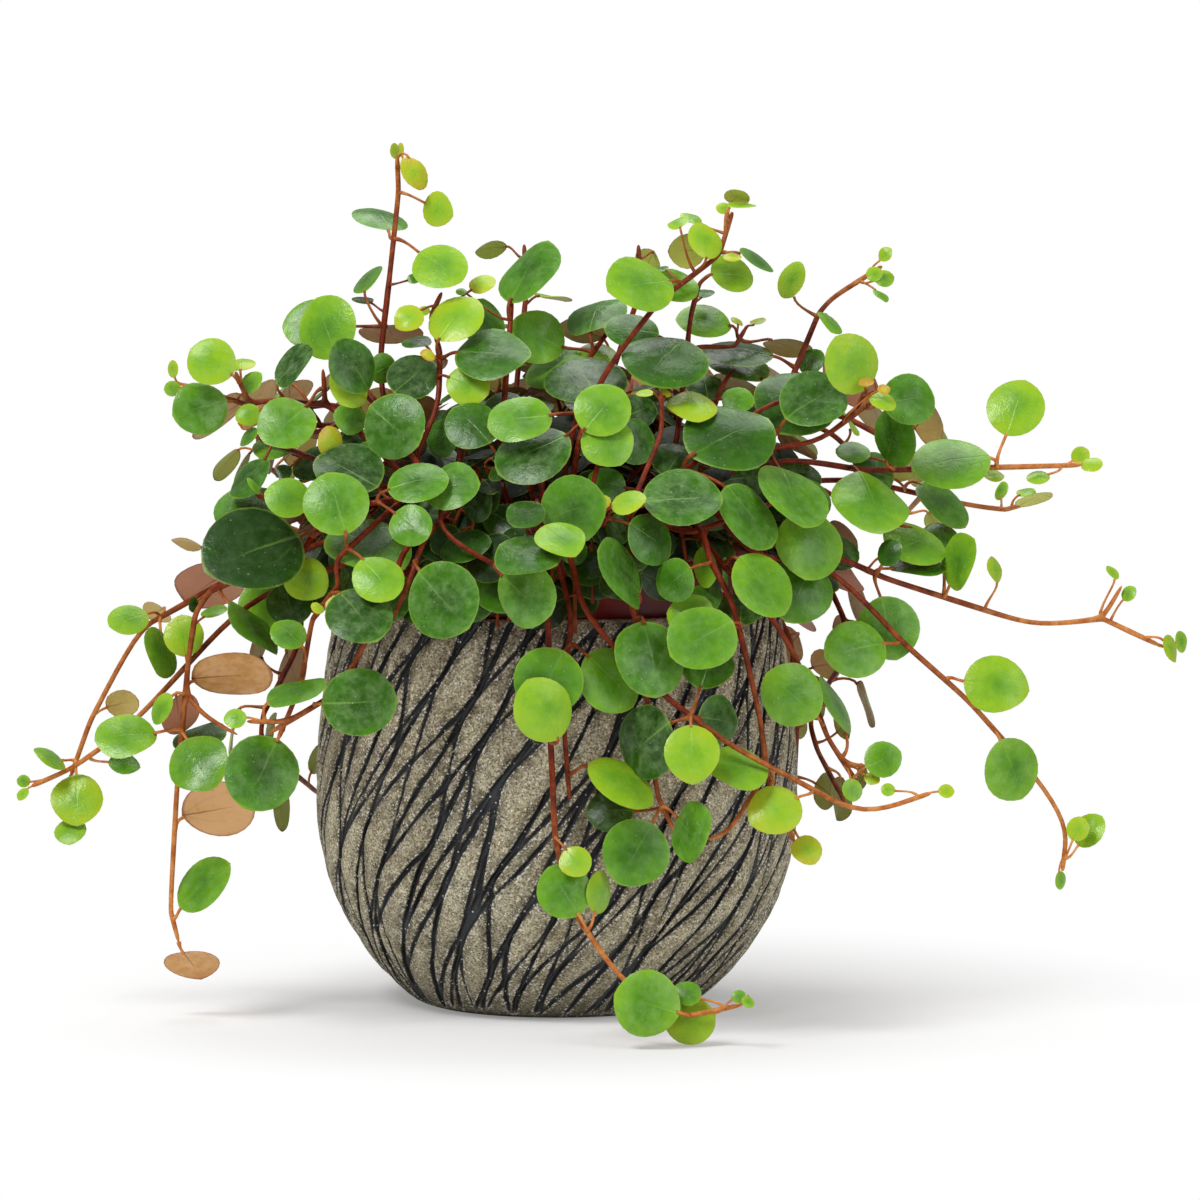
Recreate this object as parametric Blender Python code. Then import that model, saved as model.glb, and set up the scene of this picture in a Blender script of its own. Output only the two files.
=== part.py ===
"""A peperomia with trailing stems in a stoneware cover pot, about 0.37 m wide and 0.27 m high.

Lengths are in millimetres up to the point where a mesh is made. +Z is up, the front is -Y, and the origin is
the middle of the pot's flat base. The nursery pot is wedged in the cover pot's rim, the soil fills the
nursery pot, and every shoot stands on the soil as one grown piece: stem, branches, leaf stalks and blades.
"""
import math
import random

import bmesh
import bpy
import numpy as np
from mathutils import Vector
from mathutils.bvhtree import BVHTree

MM = 0.001
GAP = 0.3
SEED = 7

# Cover pot: half outline from the edge of the flat base up to the rim, as (radius, height).
POT_OUTLINE = [(40, 0), (48, 4), (57.5, 14), (67.5, 29.5), (73, 45), (75.4, 68), (72.7, 103), (69.5, 126)]
POT_HEIGHT = 126
POT_WALL = 5
POT_FLOOR = 6

# Grooves cut on a slant round the cover pot. Each rises by one for every GROOVE_LEAN that it goes round,
# with a slow wave of its own. The width and the wave are measured round the widest part.
GROOVES = 34
GROOVE_LEAN = 0.6
GROOVE_WIDTH = 3.2
GROOVE_DEPTH = 0.9
GROOVE_WAVE = 1.5
GROOVE_WAVE_RATE = 0.055
GROOVE_PHASE = 2.4
POT_WIDEST = 75

# Nursery pot: a thin tapered tub that hangs in the cover pot's mouth, with a lip above it.
TUB_TOP = 148
TUB_BOTTOM = 28
TUB_LIP = 5
TUB_LIP_RADIUS = 67
TUB_WALL = 1.2
TUB_TAPER = math.tan(math.radians(6))
TUB_HOLE = 6
TUB_SIDES = 28
SOIL_TOP = 140

# Stems are square in section, measured to their corners. One step is the distance between curve points.
STEM_FOOT = 1.3
STEM_TIP = 0.8
BRANCH_FOOT = 1.0
BRANCH_TIP = 0.7
STEP = 0.6
NODE_HALF = 2
NODE_SPACING = 6
NODE_SWELL = 1.15
BEND_TOLERANCE = 1.4
LONGEST_SPAN = 120

# Blades get thicker as they age: 0 is an opening bud, 9 is the oldest leaf.
BLADE_BUD = 0.7
BLADE_PER_AGE = 0.09
BLADE_LONGER = 1.03
BLADE_NARROWER = 0.97
DOME = 0.07
CLEARANCE = 0.35
STALK_LENGTH = 6
STEM_TRIES = 240
BRANCH_TRIES = 80
BACK_LEAF_TRIES = 14
DEPTH_SHIFTS = (0, -3, 3, -6, 6, -9, 9, -13, 13, -17, -22, -27)
TILT_SHIFTS = (0, 9, -9, 18)

# The front shoots are laid out on a drawing, the upright plane through the pot's axis as it looks from a
# point two metres in front. A drawn point is (x, z, y): its place on the drawing, and its real depth.
EYE = Vector((13.5, -2000, 280))

STEMS = {
    "upright_left": [(-50, 175, -45), (-56, 192, -38), (-55, 205, -34), (-53, 222, -30), (-51.5, 240, -27),
                     (-49.5, 256, -25), (-50, 266, -25)],
    "crown_left": [(-46, 165, -62), (-40, 180, -60), (-37, 188, -57), (-36.5, 200, -50), (-37, 208, -45),
                   (-40, 216, -42), (-36, 224, -40)],
    "crown_centre": [(-18, 165, -68), (-17, 185, -60), (-15, 200, -50), (-14.5, 213, -42), (-14, 222, -38)],
    "crown_mid": [(2, 165, -70), (6, 182, -62), (8, 196, -48), (12, 208, -38), (18, 214, -32)],
    "mound_right": [(30, 160, -74), (40, 166, -74), (50, 176, -66), (58, 184, -58), (70, 190, -48),
                    (80, 192, -42)],
    "mound_mid": [(8, 150, -78), (10, 160, -80), (14, 174, -78), (16, 186, -72)],
    "diagonal_right": [(6, 172, -78), (13, 196, -66), (20, 205, -60), (27, 214, -54), (33, 222, -48),
                       (45, 232, -42), (51, 235.5, -40), (53, 243, -38), (55, 249, -37)],
    "crown_right": [(36, 170, -60), (39, 190, -50), (40.7, 206, -40), (42.5, 220, -34), (45, 228, -32),
                    (49, 230, -30)],
    "upright_right": [(62, 170, -35), (70, 188, -25), (75.5, 201, -20), (80, 213, -16), (85, 221, -14),
                      (94, 226, -12), (102, 232, -12)],
    "bud_right": [(45, 160, -60), (58, 170, -55), (68, 175.5, -52), (77.7, 175.8, -50), (85, 178, -50),
                  (96.3, 186, -50), (99.5, 190, -50)],
    "reach_right_high": [(50, 158, -45), (68, 172, -42), (77.7, 170.3, -38), (89.5, 168, -32),
                         (105, 168, -28),
                         (120, 168.5, -26), (135.7, 168.8, -24), (154, 169.3, -21), (165, 169.5, -20)],
    "reach_right_mid": [(60, 160, -30), (85, 166, -22), (105.7, 163, -16), (127, 157.3, -10),
                        (140.5, 155.5, -8), (146.5, 157, -7)],
    "reach_right_low": [(62, 146, -62), (78, 142, -58), (89.5, 140, -52), (101.3, 134.5, -46),
                        (124, 127.3, -38),
                        (149.3, 119.5, -30), (161, 120.3, -27), (172, 121, -25), (179.5, 117, -23),
                        (190, 112.5, -22)],
    "fan_right": [(70, 160, -50), (80, 166, -46), (86.7, 159, -46), (97, 152, -44), (113.5, 149.5, -38)],
    "fall_right": [(60, 140, -72), (75, 140, -66), (87.5, 136.5, -60), (97.5, 125.5, -56), (111.5, 111, -52),
                   (126.5, 98.3, -48), (140, 83.5, -44), (152, 70, -40), (158.5, 59.5, -38), (161.5, 54, -37),
                   (159.5, 41, -37)],
    "fall_right_front": [(52, 138, -82), (60, 131, -82), (67.5, 122, -80), (77.3, 107, -76), (82, 92.5, -73),
                         (85, 84, -72), (90, 75, -70), (96, 67, -69)],
    "drop_front_right": [(44.7, 152, -84), (46.5, 143.3, -90), (50, 136, -91), (54.3, 129.5, -91),
                         (57.3, 113.8, -91), (60, 102, -90), (63.8, 92, -89), (66, 75, -87), (67, 68, -86),
                         (72, 56, -85), (75, 50, -85)],
    "cross_front": [(6, 136, -92), (6.3, 124.8, -93), (12.3, 118.8, -94), (25, 104, -96), (41.3, 90.5, -97),
                    (56.3, 79.7, -96), (73.4, 71, -93), (92.8, 60.2, -87), (100, 59, -85), (118, 66, -84)],
    "drop_front_centre": [(-3, 134, -90), (-2.5, 120, -92), (-2, 110, -93), (-2.3, 81.5, -93),
                          (-0.5, 63, -93),
                          (-0.8, 51.5, -94), (1, 39.5, -95), (6.5, 25, -98), (16, 11, -101), (20.5, 4, -102),
                          (30, -1, -103), (40, -5, -103), (49.3, -4.5, -103), (58, -1.5, -103)],
    "drop_front_twin": [(4, 130, -87), (5, 118.5, -89), (4, 109, -90), (1.5, 95, -90), (2.5, 81.5, -89.5),
                        (3.3, 72, -89.5), (4, 63, -89.5)],
    "front_inner": [(22, 132, -86), (26, 118, -88), (29, 92, -88), (31, 66, -88.5), (37, 53.5, -89)],
    "reach_left_low": [(-60, 140, -62), (-75, 136, -60), (-97, 127.5, -50), (-111.5, 111.5, -43),
                       (-131.5, 89.5, -35), (-145.5, 78.8, -30), (-157, 71.5, -27), (-166, 68, -26)],
    "reach_left_top": [(-70, 146, -50), (-90, 140, -42), (-105, 133, -36), (-125, 121.5, -27),
                       (-133, 116.5, -25), (-138.5, 104.5, -23), (-148, 87, -21), (-153.5, 71, -20)],
    "hang_left": [(-80, 142, -62), (-100, 134, -58), (-112, 127, -52), (-115.7, 112, -50), (-117, 93, -50),
                  (-118.3, 80, -50), (-120.2, 65.8, -50), (-120.8, 50.5, -50), (-122.3, 25, -50),
                  (-119.5, 18, -50)],
    "hang_left_inner": [(-58, 150, -82), (-66, 143.5, -84), (-70.5, 138.3, -85), (-68.3, 133.5, -86),
                        (-70.5, 128.7, -86), (-78, 119, -84), (-79.8, 104.8, -80), (-82, 96.3, -78),
                        (-88, 83, -76)],
    "diagonal_left": [(-52, 132, -90), (-58, 118, -90), (-63, 106, -89), (-68, 98, -88), (-73.5, 94.5, -87),
                      (-91.5, 84.5, -85)],
    "arm_left": [(-50, 168, -60), (-60, 178, -52), (-70, 187.5, -46), (-80, 189.5, -42), (-91, 190, -38),
                 (-97, 188.5, -36), (-103, 191, -34), (-118, 195, -32)],
    "mid_left": [(-55, 158, -78), (-66, 156, -72), (-76, 154.5, -68), (-86, 156.5, -62), (-95, 160, -56)],
    "front_left": [(-40, 150, -84), (-43, 142, -90), (-46, 134, -93), (-50, 126, -94), (-52, 120, -93)],
    "front_mid_left": [(-39, 150, -85), (-31, 145.5, -88), (-23.3, 140.5, -90), (-12, 134, -93)],
    "front_mid": [(-10, 150, -84), (-4, 142, -92), (0, 136, -94)],
    "front_mid_right": [(13, 150, -88), (15.5, 150, -92), (17, 156, -92)],
    "centre_sprig": [(22, 150, -84), (24.5, 160.5, -86), (29, 170, -83), (33.5, 180, -78), (33.5, 188, -74),
                     (32.5, 193, -72)],
    "mound_left": [(-30, 160, -60), (-30, 175, -66), (-28, 188, -62), (-24, 203, -48)],
    "mound_centre": [(-8, 160, -70), (-9, 172, -74), (-10, 184, -70)],
    "mound_right_low": [(40, 148, -80), (52, 152, -78), (64, 156, -72), (74, 160, -64), (84, 160, -56)],
    "mound_right_top": [(50, 190, -30), (56, 200, -22)],
    "mound_left_top": [(-40, 165, -72), (-48, 176, -66), (-55, 186, -58), (-64, 196, -46), (-72, 206, -36)],
    "mound_left_low": [(-60, 165, -66), (-72, 170, -56), (-85, 174, -46), (-94, 178, -40)],
}

# Side branches: the stem, the drawn place (x, z) where the branch leaves it, and the branch's own points.
BRANCHES = [
    ("crown_right", (40.7, 205), [(45, 207, -34), (50, 206, -30), (57, 207, -26), (59.5, 213, -24)]),
    ("bud_right", (94, 184.5), [(95.8, 189, -46), (97.5, 194, -44)]),
    ("reach_right_low", (171, 121), [(174, 125, -28), (178, 132, -28)]),
    ("fall_right_front", (89, 77), [(93, 74.5, -73), (98.5, 74.5, -74)]),
    ("drop_front_right", (66, 73), [(62.5, 67, -91), (59.5, 61, -92), (52.5, 52.5, -93), (47, 51.3, -93)]),
    ("hang_left", (-116, 97), [(-112, 91, -54), (-106, 86.5, -56), (-100, 84, -57)]),
    ("diagonal_left", (-84, 88.5), [(-89, 88.5, -89), (-98, 88.6, -90)]),
    ("arm_left", (-96.5, 188.6), [(-98.5, 193, -40), (-101, 199, -41)]),
    ("arm_left", (-66, 184), [(-71, 181, -54), (-78, 179, -54), (-88, 177.5, -50)]),
    ("arm_left", (-73, 188.5), [(-73, 193, -50), (-73.5, 200, -50)]),
]

# Leaves of the front: drawn middle (x, z), how far the blade lies behind (+) or before (-) the nearest stem,
# its size, how far it is tilted from facing the front, which way it leans (90 is up), and its age.
LEAVES = [
    # upright stem at the top left
    (-51, 268, 0, 5, 60, 0, 1), (-48.8, 268.3, -2, 4.5, 60, 180, 1), (-44.8, 261, -3, 11.5, 55, 38, 2),
    (-37, 249.7, -2, 11, 32, 180, 3), (-55.5, 247, 3, 18.5, 70, 76, 5), (-58.8, 227.5, 2, 12.5, 72, 130, 5),
    (-61, 221.3, 4, 7, 72, 85, 7), (-45, 228, 4, 4, 30, 90, 6), (-46.5, 215.5, -5, 9.5, 30, 90, 3),
    (-41.8, 217.8, 0, 4, 40, 90, 2), (-52, 210.3, 12, 20, 110, 90, 5),
    # crown, left and centre
    (-31.5, 215.5, -6, 18.5, 45, 110, 3), (-36.5, 231.5, 0, 18, 42, 100, 4), (-23.5, 214.5, 4, 16, 35, 60, 6),
    (-28, 194.5, -7, 13.5, 25, 90, 3), (-40.5, 204, -6, 5, 50, 60, 1), (-44, 208, 3, 9.5, 68, 95, 7),
    (-23.3, 226.3, 3, 8.5, 52, 100, 2), (-30, 224, 4, 3.5, 40, 90, 3), (-8.5, 230, 0, 23, 57, 127, 6),
    (-6.5, 209.5, -6, 18, 22, 60, 5), (-20, 203.8, -2, 23.5, 61, 97, 7), (-1, 200, 3, 19, 58, 112, 6),
    (9, 195.7, -2, 27, 70, 93, 8), (12.3, 216.5, 2, 19.5, 62, 112, 6), (25.7, 225.6, -7, 22.5, 47, 62, 4),
    (12.8, 204, 5, 12.5, 58, 85, 4), (23.3, 211.5, 8, 16.5, 60, 80, 7), (33.6, 202, -3, 27, 60, 82, 8),
    # diagonal stem and the crown's right
    (56.5, 253.5, 3, 8, 110, 80, 3), (52, 250, 0, 4.5, 30, 90, 2), (58, 250.5, -1, 9, 78, 88, 3),
    (46.4, 240, -5, 12.8, 42, 45, 3), (40.8, 236.7, 4, 11.5, 160, 90, 3), (38, 245.5, 2, 6.8, 66, 108, 3),
    (42, 246.7, 4, 7.2, 64, 72, 4), (55, 235, -5, 6, 48, 90, 1), (54.8, 229, -3, 14, 45, 58, 3),
    (62.4, 233.4, 3, 12.5, 73, 57, 6), (37.4, 225.3, 6, 14, 48, 75, 4), (46.3, 223.3, 5, 6.8, 70, 92, 6),
    (46, 214.4, 4, 16.8, 54, 82, 5), (33, 231, 6, 4.2, 70, 100, 6), (56.5, 214.8, 0, 4.5, 68, 60, 2),
    (63, 214.6, 0, 5.5, 72, 100, 2),
    # upright stem at the right and the mound below it
    (74, 227.5, -2, 12.8, 53, 152, 3), (85.4, 214.2, 0, 9.8, 73, 50, 4), (103, 235.6, 0, 5, 35, 150, 3),
    (99.5, 229.5, -2, 5.2, 20, 90, 3), (102.7, 228, 2, 6, 30, 90, 3), (101.5, 222.8, 2, 6, 70, 60, 4),
    (92, 201.5, -6, 19.2, 24, 0, 3), (72.3, 206.3, 6, 15.5, 113, 82, 4), (80, 202, 8, 9, 35, 120, 6),
    (97, 195.3, -8, 4.8, 40, 90, 0), (102.6, 193.3, -8, 4, 30, 90, 0), (102.3, 189.6, -7, 9, 46, 70, 3),
    (110.3, 189.8, 6, 17.5, 28, 60, 6), (106.2, 178.7, -4, 19.8, 52, 190, 6), (75, 189, 4, 27.5, 36, 80, 8),
    (80.4, 189.2, -8, 22, 40, 85, 7), (54.3, 178.3, -4, 29, 57, 80, 8), (42.6, 188.3, -7, 16.3, 64, 84, 3),
    (56.8, 190, 3, 10, 40, 90, 5), (46.5, 194, 5, 13.5, 52, 80, 8), (56.6, 204.8, 3, 22, 72, 86, 8),
    (56.5, 200.6, 8, 20.5, 70, 78, 6), (27.5, 192, -4, 5.5, 68, 95, 1), (32.4, 194.7, -2, 5, 66, 10, 2),
    (34.2, 192.2, 0, 3.5, 50, 60, 1),
    # centre of the mound
    (14.4, 187, -9, 17.8, 27, 90, 4), (15.8, 176.7, -4, 16.5, 26, 80, 4), (24.5, 177, 2, 14.8, 28, 30, 6),
    (25.5, 186.3, 6, 12, 30, 60, 8), (-11.7, 183.5, -9, 19.6, 44, 96, 4), (-7.5, 172.8, -2, 24.5, 48, 106, 7),
    (-26.8, 181.9, 0, 17.5, 34, 90, 7), (-43.7, 163.9, -8, 18.7, 48, 102, 5),
    (-33.2, 162.3, -3, 17.5, 42, 112, 5),
    (-51.3, 182, -6, 20.7, 28, 150, 6), (-45, 197, 4, 17, 22, 90, 8), (-54.8, 200, 6, 10, 35, 0, 5),
    (-64.5, 200.7, -3, 18.3, 31, 20, 7), (-71.6, 212.5, 0, 20.8, 32, 145, 5), (-77, 213, 5, 17.5, 30, 100, 5),
    (-82, 200.5, 4, 16, 57, 145, 7), (-66, 193.6, -9, 14.5, 48, 42, 2), (-65, 184, -4, 10.5, 30, 60, 5),
    # arm at the left
    (-108.4, 202, -3, 15, 15, 90, 3), (-112, 187.5, -5, 17, 22, 60, 5), (-120.5, 199.7, 0, 5.5, 50, 180, 2),
    (-120.7, 193.5, -1, 5.2, 15, 90, 3), (-99, 201.3, 0, 9.3, 68, 96, 3), (-95.6, 195.3, 1, 8, 45, 140, 4),
    (-97, 185.4, 3, 8, 25, 90, 4), (-85, 182, -6, 18.8, 35, 90, 4), (-88, 175.2, 1, 15.5, 60, 102, 5),
    (-96.7, 178, 4, 7.5, 62, 135, 6), (-71.2, 177, -9, 9.5, 38, 0, 1), (-62.5, 175.7, 3, 13, 38, 70, 8),
    (-60.5, 173.5, -3, 8, 45, 140, 6), (-76, 169.7, 4, 14.5, 50, 112, 8), (-65.8, 167, 2, 22.5, 46, 85, 8),
    # left of the mound
    (-69.4, 157.5, -8, 20.6, 26, 85, 4), (-84.7, 159, -3, 14.2, 28, 80, 5), (-96.4, 165.2, 3, 16, 58, 132, 7),
    (-86, 167.4, 4, 5.5, 35, 90, 8), (-95.3, 163, -3, 6.2, 74, 35, 3), (-96.5, 154.7, 3, 22.5, 52, 92, 6),
    (-96, 141.3, -9, 32.5, 42, 76, 9), (-109.6, 131.5, 3, 22.5, 130, 82, 5),
    (-116.3, 145, 4, 9.8, 115, 72, 4),
    (-108, 123.4, 4, 8.8, 71, 100, 4), (-114.5, 125.5, -2, 5, 55, 0, 6), (-95.8, 118, -4, 21.5, 74, 48, 5),
    (-91.7, 124.5, 4, 17.5, 25, 60, 5), (-84.7, 116.2, 0, 11.8, 40, 80, 4), (-84.4, 125.5, -3, 15, 34, 80, 8),
    (-79, 133.7, -9, 14.7, 22, 90, 2), (-69.2, 125, -10, 7.6, 22, 90, 1), (-75.5, 124.3, -5, 4.5, 50, 60, 1),
    (-56.3, 133.8, -9, 17.2, 19, 90, 4), (-59.2, 143.4, -3, 27.6, 58, 82, 6),
    (-45.8, 150.3, -4, 14.3, 30, 120, 5),
    (-62.5, 122, -2, 22.3, 46, 92, 7), (-35.5, 127, -8, 24.3, 28, 155, 6),
    # front centre, over the pot's rim
    (-10, 128.8, -8, 21.3, 33, 180, 5), (-9, 141, 0, 21, 42, 100, 7), (1, 145.6, -10, 16.8, 38, 90, 4),
    (5.6, 155.5, -4, 23, 30, 180, 6), (15.5, 163.5, 4, 12, 40, 70, 7), (-9.9, 153.8, 4, 13, 50, 90, 8),
    (-20.7, 163.8, 5, 10.5, 35, 90, 8), (-25, 157.4, 3, 12, 40, 170, 8), (-36, 178, 5, 12.5, 40, 170, 7),
    (13, 157.6, -6, 8, 52, 100, 1), (22.6, 157.6, -6, 11, 55, 108, 2), (19, 135.2, -7, 25, 67, 25, 6),
    (19.5, 149.3, 2, 10.5, 45, 170, 8), (29.2, 146, -5, 17, 40, 30, 7), (24.2, 140.5, 5, 10, 40, 60, 7),
    (39.5, 158, -5, 24.5, 47, 88, 6), (37.2, 171, -2, 15.8, 56, 72, 8), (37, 133, -2, 14.3, 33, 180, 6),
    (45.6, 114.7, -9, 22.2, 31, 80, 5), (42, 122, -2, 15, 28, 120, 4), (46.5, 127.5, 2, 10.5, 38, 90, 5),
    (47, 137.5, 4, 13, 57, 180, 4), (53, 135, 4, 11, 68, 0, 4), (58, 124.5, 4, 14.5, 50, 90, 7),
    (64.2, 131.2, -7, 22, 44, 48, 5), (76.5, 129.7, 0, 21.3, 25, 60, 6), (79.4, 144.4, -7, 22.2, 32, 45, 5),
    (90, 142, 3, 11, 50, 40, 7), (60, 153, -4, 23, 50, 40, 6), (73.2, 158.7, -2, 26.5, 69, 56, 5),
    (81, 158.5, 4, 12.5, 40, 30, 7), (76, 166.5, 0, 14.8, 60, 68, 7), (58.2, 165, 0, 15.3, 48, 56, 7),
    (69.5, 154.8, 4, 6.5, 30, 90, 9),
    # right
    (93, 173.4, 2, 10.8, 53, 85, 5), (99.2, 167, 4, 14, 32, 40, 6), (98.5, 158, -4, 24.5, 53, 70, 5),
    (108, 167, 5, 8.5, 128, 80, 3), (123.8, 170, -4, 24.3, 53, 88, 5), (137.3, 166, 2, 6.3, 55, 80, 3),
    (144, 187.4, -2, 18.7, 36, 105, 4), (164.4, 172.5, -1, 6, 15, 90, 3), (168, 169.8, 1, 6.8, 50, 105, 3),
    (151.2, 165.6, -1, 7.4, 58, 92, 3), (120.8, 156.6, 0, 19.5, 60, 52, 6), (112, 144.2, -3, 22, 60, 66, 5),
    (120.4, 146.5, 3, 14, 48, 80, 6), (113.5, 138, 2, 18, 52, 85, 7), (104.5, 142, 5, 9, 40, 150, 8),
    (127.5, 139.2, -3, 18.5, 62, 175, 5), (137.6, 136.5, 0, 8.5, 60, 20, 3), (104.3, 118, 3, 19.7, 15, 60, 5),
    (93.7, 111, -5, 20.2, 30, 60, 4), (138.4, 100.1, -4, 19.9, 24, 90, 4), (143, 73.5, -4, 19.7, 24, 0, 4),
    (164.3, 54.6, -4, 7.8, 12, 90, 3), (168, 54, 2, 11.5, 40, 140, 4), (158.9, 38.2, 0, 5.8, 50, 0, 3),
    (74, 97, -5, 20.6, 18, 0, 4), (87, 93.6, 0, 20, 67, 28, 5), (102.8, 76.6, -1, 11.8, 18, 90, 5),
    (99.3, 70.5, 0, 5, 25, 90, 1), (93, 66.8, -3, 7.2, 25, 60, 3), (104.4, 67, 0, 4.5, 20, 90, 3),
    (122.7, 66.4, 0, 5, 38, 90, 3), (193, 111.4, 0, 9.2, 60, 20, 3), (196.5, 113.8, 1, 7, 64, 10, 3),
    (174.5, 135.5, 0, 5.5, 60, 50, 3), (180, 129, 0, 5.3, 40, 140, 3), (139.5, 161.5, 2, 6.5, 60, 150, 3),
    (147.5, 161, 2, 6.3, 68, 90, 3), (150, 158.8, -1, 12, 112, 105, 3),
    # in front of the pot
    (68.5, 60.4, -4, 17.2, 32, 90, 2), (78.8, 47.7, -1, 9.8, 32, 80, 2), (19.8, 68.4, -5, 22.8, 60, 58, 4),
    (28.7, 82, -3, 24.2, 44, 180, 7), (42.5, 78.2, -8, 18.2, 18, 90, 3), (56.9, 73.5, -1, 19, 54, 78, 4),
    (51, 89, 4, 17, 45, 0, 7), (16.8, 101.5, -4, 21.2, 33, 40, 5), (29.2, 108.4, 0, 24.2, 32, 45, 6),
    (47.5, 106, 4, 17, 40, 90, 7), (-3, 100.8, 2, 21.5, 15, 90, 6), (-4.4, 92.3, -8, 20.6, 20, 0, 4),
    (16.6, 60.2, 4, 14.5, 30, 90, 8), (24.5, 46.7, -4, 21.2, 15, 60, 6), (42.3, 53.8, -2, 20, 56, 165, 5),
    (2, 34.7, 0, 17.2, 18, 60, 5), (5.8, 44, -5, 10.2, 25, 90, 2), (13.5, 34.5, 2, 13.5, 55, 0, 3),
    (28.4, -1, -2, 20.5, 10, 90, 4), (42.2, -6.7, 0, 15.4, 15, 90, 3), (41, 2.3, 5, 9, 30, 90, 5),
    (57.3, 1.3, 0, 4.6, 25, 90, 4), (60.3, -0.5, 0, 4.4, 30, 60, 3),
    # hanging at the left
    (-102.4, 102.3, -2, 24.8, 121, 88, 6), (-62.2, 94.6, -5, 23, 22, 120, 6),
    (-82, 97.8, -2, 19.3, 70, 107, 6),
    (-93.4, 72, -5, 24.6, 22, 60, 6), (-112.9, 75, -4, 20.2, 38, 115, 5), (-107, 60.3, 3, 22.8, 150, 85, 5),
    (-112.7, 83.7, 4, 17.5, 66, 105, 7), (-101.5, 89.5, 0, 7, 35, 90, 3), (-136, 83.7, -3, 18.8, 48, 88, 4),
    (-136.5, 75, 3, 9.8, 50, 80, 6), (-137, 94.2, 3, 10.5, 150, 90, 4), (-124.3, 92.5, -1, 10.5, 55, 150, 4),
    (-119, 91, 4, 14, 135, 150, 5), (-117.5, 115.7, 5, 12.8, 12, 90, 3), (-125.6, 110, 0, 17, 68, 25, 5),
    (-135, 120.5, 2, 13, 48, 80, 4), (-126, 123, 3, 10.5, 125, 60, 4), (-151.5, 63.5, -3, 16.8, 30, 90, 3),
    (-153.7, 54, 1, 10.7, 55, 100, 3), (-160, 77, 1, 12, 67, 55, 4), (-168.3, 69.7, 0, 4.2, 15, 90, 3),
    (-168.5, 65.5, 0, 4.5, 45, 120, 3), (-111.2, 36.6, -2, 20.3, 51, 138, 5),
    (-115.5, 11, 0, 17.6, 127, 90, 5),
]

SIZE_COLUMN = 3

# The back repeats the front's four habits. Each habit is a stem's half outline, as (distance from the axis,
# height) after the soil, and each shoot is (habit, compass angle, reach); angle 90 is straight back.
HABITS = {
    "trailing": [(62, 156), (78, 158), (92, 140), (97, 112), (99, 84), (97, 60)],
    "arching": [(55, 168), (80, 186), (108, 182), (134, 166), (150, 148)],
    "upright": [(30, 170), (38, 198), (44, 222), (47, 238)],
    "mound": [(48, 165), (66, 182), (86, 180), (98, 165)],
}
BACK_SHOOTS = [
    ("trailing", 15, 0.8), ("trailing", 52, 1.0), ("trailing", 90, 0.85), ("trailing", 128, 1.0),
    ("trailing", 163, 0.75), ("arching", 34, 0.85), ("arching", 76, 0.9), ("arching", 142, 0.8),
    ("upright", 60, 0.9), ("upright", 112, 1.0), ("mound", 5, 1.0), ("mound", 45, 0.95),
    ("mound", 70, 1.0), ("mound", 104, 0.95), ("mound", 135, 1.0), ("mound", 172, 1.0),
]
BACK_LEAF_SPACING = 22
BACK_HUB = Vector((0, 0, 105))


def clear_scene():
    for item in list(bpy.data.objects):
        bpy.data.objects.remove(item, do_unlink=True)


def make_material(name, colour, roughness):
    material = bpy.data.materials.new(name)
    material.use_nodes = True
    shader = material.node_tree.nodes["Principled BSDF"]
    shader.inputs["Base Color"].default_value = (*colour, 1)
    shader.inputs["Roughness"].default_value = roughness
    shader.inputs["Metallic"].default_value = 0
    return material


# ---------------------------------------------------------------- the pots and the soil

def pot_radius(height):
    """The cover pot's outer radius at a height."""
    return np.interp(height, [z for _, z in POT_OUTLINE], [r for r, _ in POT_OUTLINE])


def tub_radius(height):
    """The nursery pot's outer radius at a height: it touches the cover pot's rim, less the gap."""
    mouth = pot_radius(POT_HEIGHT) - POT_WALL - GAP
    return mouth + (height - POT_HEIGHT) * TUB_TAPER


def groove_angle(index, run):
    """The angle round the pot at which a groove lies, at a distance up the wall from the base."""
    wave = GROOVE_WAVE * math.sin(GROOVE_WAVE_RATE * run + GROOVE_PHASE * index)
    return index / GROOVES * math.tau + (GROOVE_LEAN * run + wave) / POT_WIDEST


def ring_of(mesh, places):
    """New vertices at the angles and radii of one height. The angle starts at the front, -Y."""
    return [mesh.verts.new((radius * math.sin(angle) * MM, -radius * math.cos(angle) * MM, z * MM))
            for angle, radius, z in places]


def carve_wall(mesh):
    """The grooved outer wall, as rings of vertices from the base to the rim: each groove has two edges and
    a bed between them. The grooves run out at the base and are shallower on the rim."""
    curve = curve_through([Vector((r, 0, z)) for r, z in POT_OUTLINE], 2)
    rows = [curve[k] for k in (0, 2, 4, 6, 8, 9, 10, 11, 12, 13, 14)]
    half = GROOVE_WIDTH / 2 / POT_WIDEST
    rings, run = [], 0
    for k, row in enumerate(rows):
        run += (row - rows[k - 1]).length if k else 0
        cut = GROOVE_DEPTH * (0 if k == 0 else 0.5 if row is rows[-1] else 1)
        places = []
        for index in range(GROOVES):
            angle = groove_angle(index, run)
            places += [(angle - half, row.x, row.z), (angle, row.x - cut, row.z),
                       (angle + half, row.x, row.z)]
        rings.append(ring_of(mesh, places))
    start = GROOVE_LEAN * run / POT_WIDEST
    return rings, [start + index / GROOVES * math.tau for index in range(GROOVES)]


def join_rings(mesh, lower, upper):
    for k, vert in enumerate(lower):
        mesh.faces.new((lower[k - 1], vert, upper[k], upper[k - 1]))


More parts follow.
